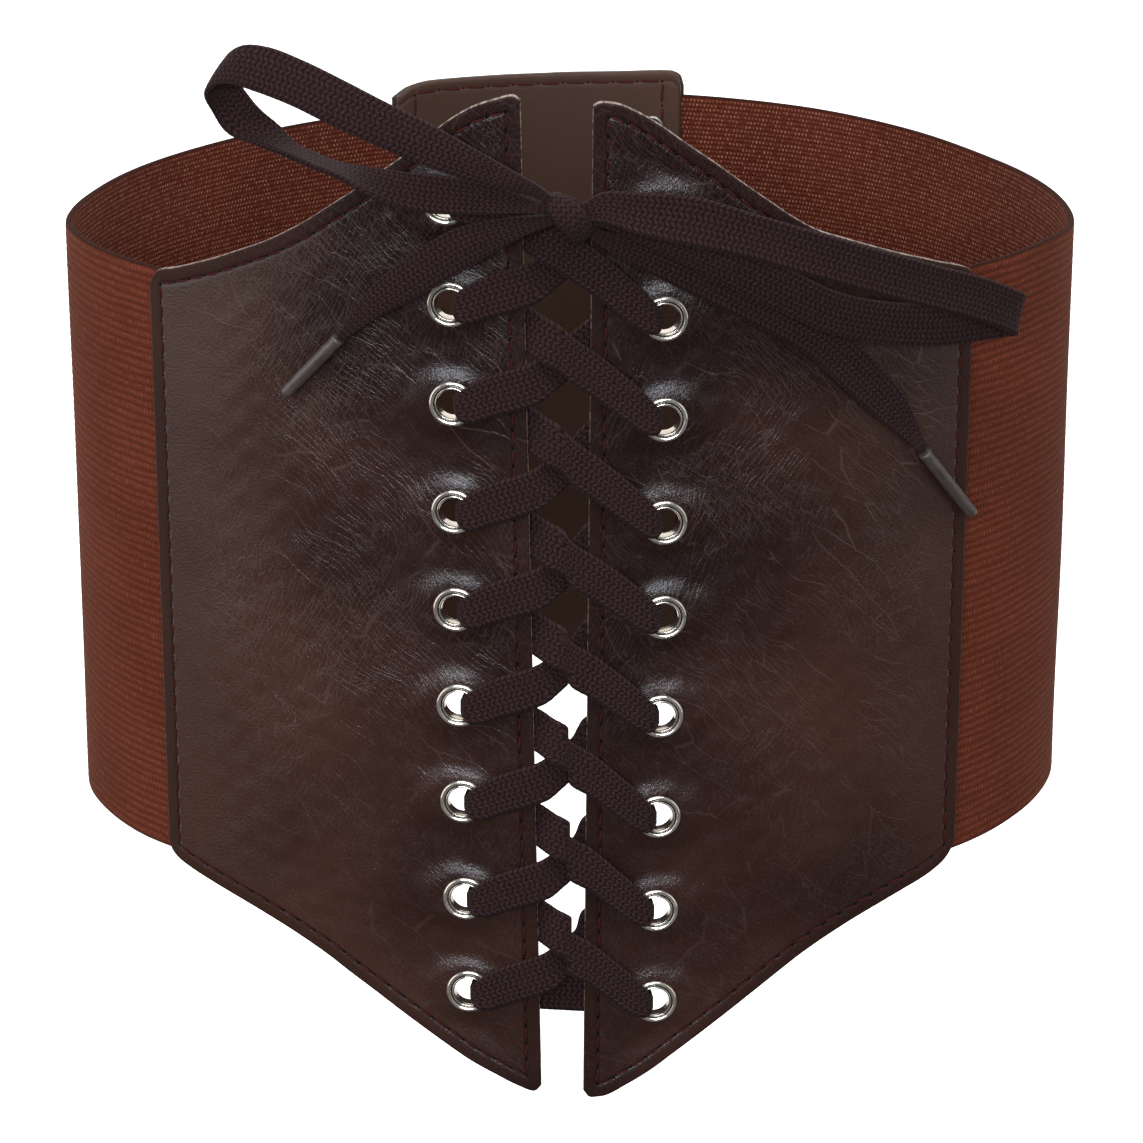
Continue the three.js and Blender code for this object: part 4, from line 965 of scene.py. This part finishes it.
# ------------------------------------------------------------------ turned metal pieces
def lathe(profile, segments, centre, axis, closed=False):
    """profile rows (radius, height along axis)"""
    profile = np.asarray(profile, float)
    axis = np.asarray(axis, float)
    side = unit(np.cross(axis, [0, 0, 1.0])) if abs(axis[2]) < 0.9 else unit(np.cross(axis, [1.0, 0, 0]))
    other = np.cross(axis, side)
    k = np.arange(segments) * 2 * np.pi / segments
    ring = np.cos(k)[:, None] * side + np.sin(k)[:, None] * other
    rings = np.asarray(centre) + profile[:, 0][:, None, None] * ring[None] + profile[:, 1][:, None, None] * axis
    n = len(profile)
    verts = rings.reshape(-1, 3)
    count = n if closed else n - 1
    i, j = np.meshgrid(np.arange(count), np.arange(segments), indexing="ij")
    a, b = i * segments + j, i * segments + (j + 1) % segments
    i2 = (i + 1) % n
    quads = np.stack([a, b, i2 * segments + (j + 1) % segments, i2 * segments + j], -1).reshape(-1, 4)
    quads, _ = outward(verts, quads)
    coords = np.stack([np.repeat(profile[:, 0], segments), np.tile(k, n), np.repeat(profile[:, 1], segments)], -1)
    return verts, quads, coords


def arc(cx, cy, r, start, end, count):
    t = np.radians(np.linspace(start, end, count))
    return [(cx + r * math.cos(a), cy + r * math.sin(a)) for a in t]


def eyelet_profile():
    p = []
    p += arc(4.50, 0.04, 0.50, -10, 165, 14)                   # rolled outer lip
    p += [(3.97, 0.02), (3.88, -0.08), (3.78, 0.02)]           # groove
    p += arc(3.52, 0.12, 0.23, 0, 175, 8)                      # inner lip
    p += [(3.24, 0.02), (3.18, -0.3), (3.14, -1.9), (3.14, -2.25)]
    p += arc(3.66, -2.30, 0.54, 190, 300, 6)                   # rolled back
    p += [(4.22, -2.62), (4.28, -2.52), (4.2, -2.42), (3.52, -2.38), (3.48, -1.5), (3.48, -0.15), (4.8, -0.15), (4.96, -0.06)]
    return p


for _side in ("left", "right"):
    for _i, (_s, _z) in enumerate(PANELS[_side]["eyelets"], 1):
        lift = float(panel_relief(_side, np.array([_s]), np.array([_z]))[0])
        lift = min(max(lift, 0.0), 0.7)
        _normal = plan(_s)[3]
        turn = rng.normal(0, 0.012, 2)
        axis = unit(_normal + np.array([0, 0, 1.0]) * turn[0] + plan(_s)[2] * turn[1])
        v, q, co = lathe(eyelet_profile(), 56, on_belt(_s, _z, PANEL_OUT + 0.12 + lift), axis, closed=True)
        obj = make_mesh(f"ring_{_side}_{_i}", v, q, None, co, (NICKEL,))
        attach(obj, "root")
        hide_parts(f"eyelet_{_side}_{_i}")

stud_profile = [(0.001, 0.95), (0.9, 0.93), (1.5, 0.82), (1.72, 0.70), (1.80, 0.62), (1.92, 0.74), (2.25, 0.86), (2.6, 0.72), (2.78, 0.42), (2.8, 0.1), (2.7, 0.0), (0.001, 0.0)]
v, q, co = lathe(stud_profile, 48, on_belt(STUD_S, STUD_Z, -3.95), -plan(STUD_S)[3])
stud = make_mesh("stud", v, q, None, co, (STUD_METAL,))
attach(stud, "root")
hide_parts("back_stud")


# ------------------------------------------------------------------ the lace
def stadium(count, half=4.6, thick=0.65):
    """unit section of the flat lace, evenly spaced round it: (across, through, normal across, normal through)"""
    flat = half - thick
    total = 4 * flat + 2 * math.pi * thick
    out = []
    for i in range(count):
        p = (i / count) * total
        if p < 2 * flat:
            out.append((-flat + p, thick, 0.0, 1.0))
        elif p < 2 * flat + math.pi * thick:
            a = math.pi / 2 - (p - 2 * flat) / thick
            out.append((flat + thick * math.cos(a), thick * math.sin(a), math.cos(a), math.sin(a)))
        elif p < 4 * flat + math.pi * thick:
            out.append((flat - (p - 2 * flat - math.pi * thick), -thick, 0.0, -1.0))
        else:
            a = -math.pi / 2 - (p - 4 * flat - math.pi * thick) / thick
            out.append((-flat + thick * math.cos(a), thick * math.sin(a), math.cos(a), math.sin(a)))
    out = np.array(out)
    return out[:, 0] / half, out[:, 1] / thick, out[:, 2], out[:, 3]


ROUND = 54
SX, SY, SNX, SNY = stadium(ROUND)
CELL = np.arange(ROUND) / ROUND * BRAID_CELLS


def lace_mesh(rows, at, offset, curl=None):
    """rows: centre, half-width vector, half-thickness vector at distances at along the lace"""
    centre, across, thick = rows[:, :3], rows[:, 3:6], rows[:, 6:9]
    run = unit(np.gradient(centre, axis=0))
    wide, deep = unit(across), unit(thick)
    half = np.linalg.norm(across, axis=1)
    # the braid stays square to the lace where a section is cut at a slant
    slant = (across * run).sum(1)
    body = centre[:, None] + SX[None, :, None] * across[:, None] + SY[None, :, None] * thick[:, None]
    if curl is not None:
        body = body + (curl[:, None] * (SX[None] ** 2 - 0.4))[..., None] * deep[:, None]
    u = at[:, None] + slant[:, None] * SX[None] + offset
    h = braid_height(u, CELL[None])
    squeeze = np.clip(half / 4.0, 0.35, 1.0)
    relief = (h - 0.55) * 0.10 * squeeze[:, None]
    out = body + relief[..., None] * (SNX[None, :, None] * wide[:, None] + SNY[None, :, None] * deep[:, None])
    v, q, t = tube(out)
    coords = np.stack([u, np.repeat(CELL[None], len(at), 0), np.full(u.shape, offset * 0.013)], -1).reshape(-1, 3)
    coords = np.concatenate([coords, coords[:1], coords[-1:]])
    return v, q, t, coords


def belt_sections(rows, from_at, to_at, own, other):
    way = np.sign(to_at[0] - from_at[0])
    out = []
    for anchor, shift, rise, d, hz, thick, turn, *lean in rows:
        lean = lean[0] if lean else 0.0
        z = lerp(from_at[1], to_at[1], rise)
        base = (from_at[0], float(laced_at(own, z)), float(laced_at(other, z)), to_at[0])[anchor]
        s = base + way * shift
        _, _, tangent, normal = plan(s)
        a = math.radians(turn)
        deep = normal * math.cos(a) - tangent * way * math.sin(a)
        out.append([*on_belt(s, z, d), *(np.array([0.0, 0.0, hz]) - normal * lean), *(deep * thick / 2)])
    return np.array(out)


def hold_lace(name, node, rows, offset, step=0.42):
    dense, at = through(rows, step, power=0.8)
    v, q, t, co = lace_mesh(dense, at, offset)
    obj = make_mesh(name, v, q, t, co, (BRAID,))
    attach(obj, "root")
    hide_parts(node)
    return obj


for _i in range(2, 10):
    L, R = PANELS["left"], PANELS["right"]
    hold_lace(f"lace_run_left_{_i}", f"lace_left_{_i}", belt_sections(CROSSING_LEFT, L["eyelets"][_i - 1], R["eyelets"][_i - 2], L, R), 3.7 * _i)
    hold_lace(f"lace_run_right_{_i}", f"lace_right_{_i}", belt_sections(CROSSING_RIGHT, R["eyelets"][_i - 1], L["eyelets"][_i - 2], R, L), 5.3 * _i + 1.1)
hold_lace("lace_run_bottom", "lace_bottom_bar", belt_sections(BOTTOM_BAR, L["eyelets"][8], R["eyelets"][8], L, R), 0.4)


def lead_sections(from_at, s_knot, z_knot):
    way = np.sign(s_knot - from_at[0])
    out = []
    for shift, share, d, hz, thick, turn in LEAD:
        s, z = lerp(from_at[0], s_knot, share) + way * shift, lerp(from_at[1], z_knot, share)
        _, _, tangent, normal = plan(s)
        a = math.radians(turn)
        deep = normal * math.cos(a) - tangent * way * math.sin(a)
        out.append([*on_belt(s, z, d), 0.0, 0.0, hz, *(deep * thick / 2)])
    return np.array(out)


hold_lace("lace_run_lead_left", "lace_lead_left", lead_sections(L["eyelets"][0], 0.0, 91.0), 2.0)
hold_lace("lace_run_lead_right", "lace_lead_right", lead_sections(R["eyelets"][0], 0.0, 91.5), 9.0)


def bow_rows(table, both, step=0.42):
    """centre and half-width from the table; the lace grows thicker where it is gathered narrower and ends inside the knot"""
    table = np.array(table, float)
    core = np.array([*KNOT])
    first = np.concatenate([lerp(table[0, :3], core, 0.62), table[0, 3:] * 0.62])
    last = np.concatenate([lerp(table[-1, :3], core, 0.62), table[-1, 3:] * 0.62])
    table = np.concatenate([first[None], table, last[None]] if both else [first[None], table])
    dense, at = through(table, step)
    centre, across = dense[:, :3], dense[:, 3:6]
    run = unit(np.gradient(centre, axis=0))
    half = np.linalg.norm(across, axis=1)
    deep = unit(np.cross(run, across))
    flips = np.sign((deep[1:] * deep[:-1]).sum(1))
    deep[1:] *= np.cumprod(np.where(flips < 0, -1.0, 1.0))[:, None]
    thick = np.clip(0.65 * (4.4 / np.maximum(half, 0.5)) ** 0.55, 0.62, 1.35)
    thick = np.minimum(thick, np.maximum(half, 1.0) * 1.05)
    return np.concatenate([centre, across, deep * thick[:, None]], 1), at


def bow(name, node, table, offset, far_end, curl=0.0):
    rows, at = bow_rows(table, far_end == "object")
    ends = np.clip(np.minimum(at, at[-1] - at) / 12, 0, 1)
    v, q, t, co = lace_mesh(rows, at, offset, curl=np.full(len(at), curl) * ends)
    obj = make_mesh(name, v, q, t, co, (BRAID,))
    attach(obj, "root")
    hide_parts(node)
    length = float(at[-1])
    return obj, length


# ------------------------------------------------------------------ aglets
def build_aglet(side):
    a, b = (np.array(p, float) for p in AGLETS[side])
    axis = unit(b - a)
    long = float(np.linalg.norm(b - a))
    up = unit(np.cross(axis, [0.0, -1.0, 0.0]))
    other = np.cross(axis, up)
    t = np.concatenate([[0, 0.06, 0.2, 0.45], np.linspace(0.9, long - 0.9, 26), [long - 0.5, long - 0.22, long - 0.06, long]])
    m = 40
    k = np.arange(m) * 2 * np.pi / m
    r = np.full(len(t), AGLET_RADIUS)
    r = r - 0.25 * np.exp(-t / 0.12) - 0.10 * (t / long) - 0.35 * np.exp(-(long - t) / 0.16)
    crimp = 1 - 0.10 * np.exp(-((t - 2.6) / 0.5) ** 2) - 0.06 * np.exp(-((t - long + 3.0) / 0.5) ** 2)
    flat = 1 - 0.16 * (t / long)
    wrap = 1 + 0.045 * np.exp(-((np.mod(k - 1.1, 2 * np.pi)) / 0.35))  # the film's lap runs lengthwise
    rings = (a + t[:, None] * axis)[:, None] + (r * crimp)[:, None, None] * (
        (np.cos(k) * wrap)[None, :, None] * up + (np.sin(k) * wrap)[None, :, None] * other * flat[:, None, None])
    v, q, tr = tube(rings)
    co = np.stack([np.repeat(t, m), np.tile(k / (2 * np.pi), len(t)), np.zeros(len(t) * m)], -1)
    co = np.concatenate([co, co[:1], co[-1:]])
    obj = make_mesh(f"tip_{side}", v, q, tr, co, (TIP,))
    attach(obj, "root")
    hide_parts(f"aglet_{side}")
    return obj


tips = {side: build_aglet(side) for side in ("left", "right")}
bow("bow_left", "bow_loop_left", BOW_LOOP_LEFT, 11.0, "object", curl=0.35)
bow("bow_right", "bow_loop_right", BOW_LOOP_RIGHT, 4.0, "object", curl=0.45)
bow("tail_left", "bow_tail_left", BOW_TAIL_LEFT, 21.0, "fitting", curl=0.5)
bow("tail_right", "bow_tail_right", BOW_TAIL_RIGHT, 31.0, "fitting", curl=0.4)


# ------------------------------------------------------------------ the knot
def build_knot():
    """one turn of the lace round the crossing, over a small core of the lace's own folds"""
    batch = Batch()
    lean = math.radians(-30)
    up = np.array([math.sin(lean), 0.0, math.cos(lean)])
    side = np.array([math.cos(lean), 0.0, -math.sin(lean)])
    fore = np.array([0.0, -1.0, 0.0])
    centre = np.array(KNOT) + np.array([-0.2, 0.0, 0.0])
    rows = []
    for deg in range(-180, 181, 15):
        a = math.radians(deg)
        radial = fore * math.cos(a) * 3.6 + up * math.sin(a) * 5.0
        front = max(0.0, math.cos(a))
        half = 2.6 + 0.5 * front - 0.4 * max(0.0, math.sin(a))
        shift = side * (-0.9 * math.sin(a) + 0.5 * math.cos(2 * a))
        away = unit(fore * math.cos(a) / 3.6 + up * math.sin(a) / 5.0)
        rows.append([*(centre + radial + shift), *(side * half + up * 0.7 * math.cos(a)), *(away * 0.8)])
    dense, at = through(np.array(rows), 0.42)
    v, q, t, co = lace_mesh(dense, at, 2.2, curl=np.full(len(at), -1.1))
    batch.add(v, q, t, 0, co)
    # the core
    n, m = 22, 30
    lat = np.linspace(-0.98, 0.98, n) * np.pi / 2
    lon = np.arange(m) * 2 * np.pi / m
    rings = centre + (3.6 * np.cos(lat)[:, None] * np.cos(lon)[None])[..., None] * side + (3.0 * np.cos(lat)[:, None] * np.sin(lon)[None])[..., None] * fore \
        + (4.7 * np.sin(lat))[:, None, None] * up
    v, q, t = tube(rings)
    co = np.stack([np.repeat(np.linspace(0, 12, n), m), np.tile(np.arange(m) / m * BRAID_CELLS, n), np.zeros(n * m)], -1)
    batch.add(v, q, t, 0, np.concatenate([co, co[:1], co[-1:]]))
    obj = batch.build("knot", (BRAID,))
    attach(obj, "root")
    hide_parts("bow_knot")
    return obj


build_knot()

# ------------------------------------------------------------------ floor, world and lights
FLOOR_Z = -0.45
floor = make_mesh("floor", np.array([(-30000, -30000, FLOOR_Z * 1000), (30000, -30000, FLOOR_Z * 1000), (30000, 30000, FLOOR_Z * 1000), (-30000, 30000, FLOOR_Z * 1000)]),
                  np.array([[0, 1, 2, 3]]), smooth=False)
g = Nodes("floor_paint")
place = g.node("ShaderNodeTexCoord").outputs["Object"]
fine = g.noise(place, 3.0, 1.0, flat=False)
table = g.mix(fine, (0.060, 0.048, 0.042, 1), (0.075, 0.060, 0.050, 1))
sweep = g.mix(fine, (0.94, 0.94, 0.94, 1), (0.96, 0.96, 0.96, 1))
floor.data.materials.append(g.set(colour=g.mix(g.span(g.parts(place)[1], 0.10, 0.42), table, sweep), rough=0.9, specular=0.0))

world = bpy.data.worlds.new("studio")
bpy.context.scene.world = world
world.use_nodes = True
world.node_tree.nodes["Background"].inputs["Color"].default_value = (1.0, 1.0, 1.0, 1.0)
world.node_tree.nodes["Background"].inputs["Strength"].default_value = 0.22


def softbox(name, place, target, width, height, power, colour=(1, 1, 1)):
    data = bpy.data.lights.new(name, "AREA")
    data.shape = "RECTANGLE"
    data.size, data.size_y = width, height
    data.energy = power
    data.color = colour
    light = bpy.data.objects.new(name, data)
    light.location = place
    gap = np.array(target, float) - np.array(place, float)
    yaw, pitch = math.atan2(gap[0], gap[1]), math.atan2(-gap[2], math.hypot(gap[0], gap[1]))
    light.rotation_euler = (math.pi / 2 - pitch, 0.0, -yaw)
    bpy.context.scene.collection.objects.link(light)
    return light


softbox("front_box", (-0.18, -1.95, 0.72), (0.0, 0.0, 0.0), 1.2, 0.55, 35.0, (0.86, 0.91, 1.0))
softbox("top_box", (0.0, -0.62, 1.5), (0.0, 0.0, 0.0), 1.6, 0.9, 22.0)
softbox("left_box", (-1.5, -0.55, 0.20), (0.0, 0.0, 0.0), 1.3, 1.5, 9.8, (1.0, 0.96, 0.92))
softbox("right_box", (1.5, -0.55, 0.20), (0.0, 0.0, 0.0), 1.3, 1.5, 5.0, (1.0, 0.96, 0.92))
softbox("ground_box", (0.0, 1.7, 0.75), (0.0, 1.7001, -1.0), 3.2, 2.6, 75.0)
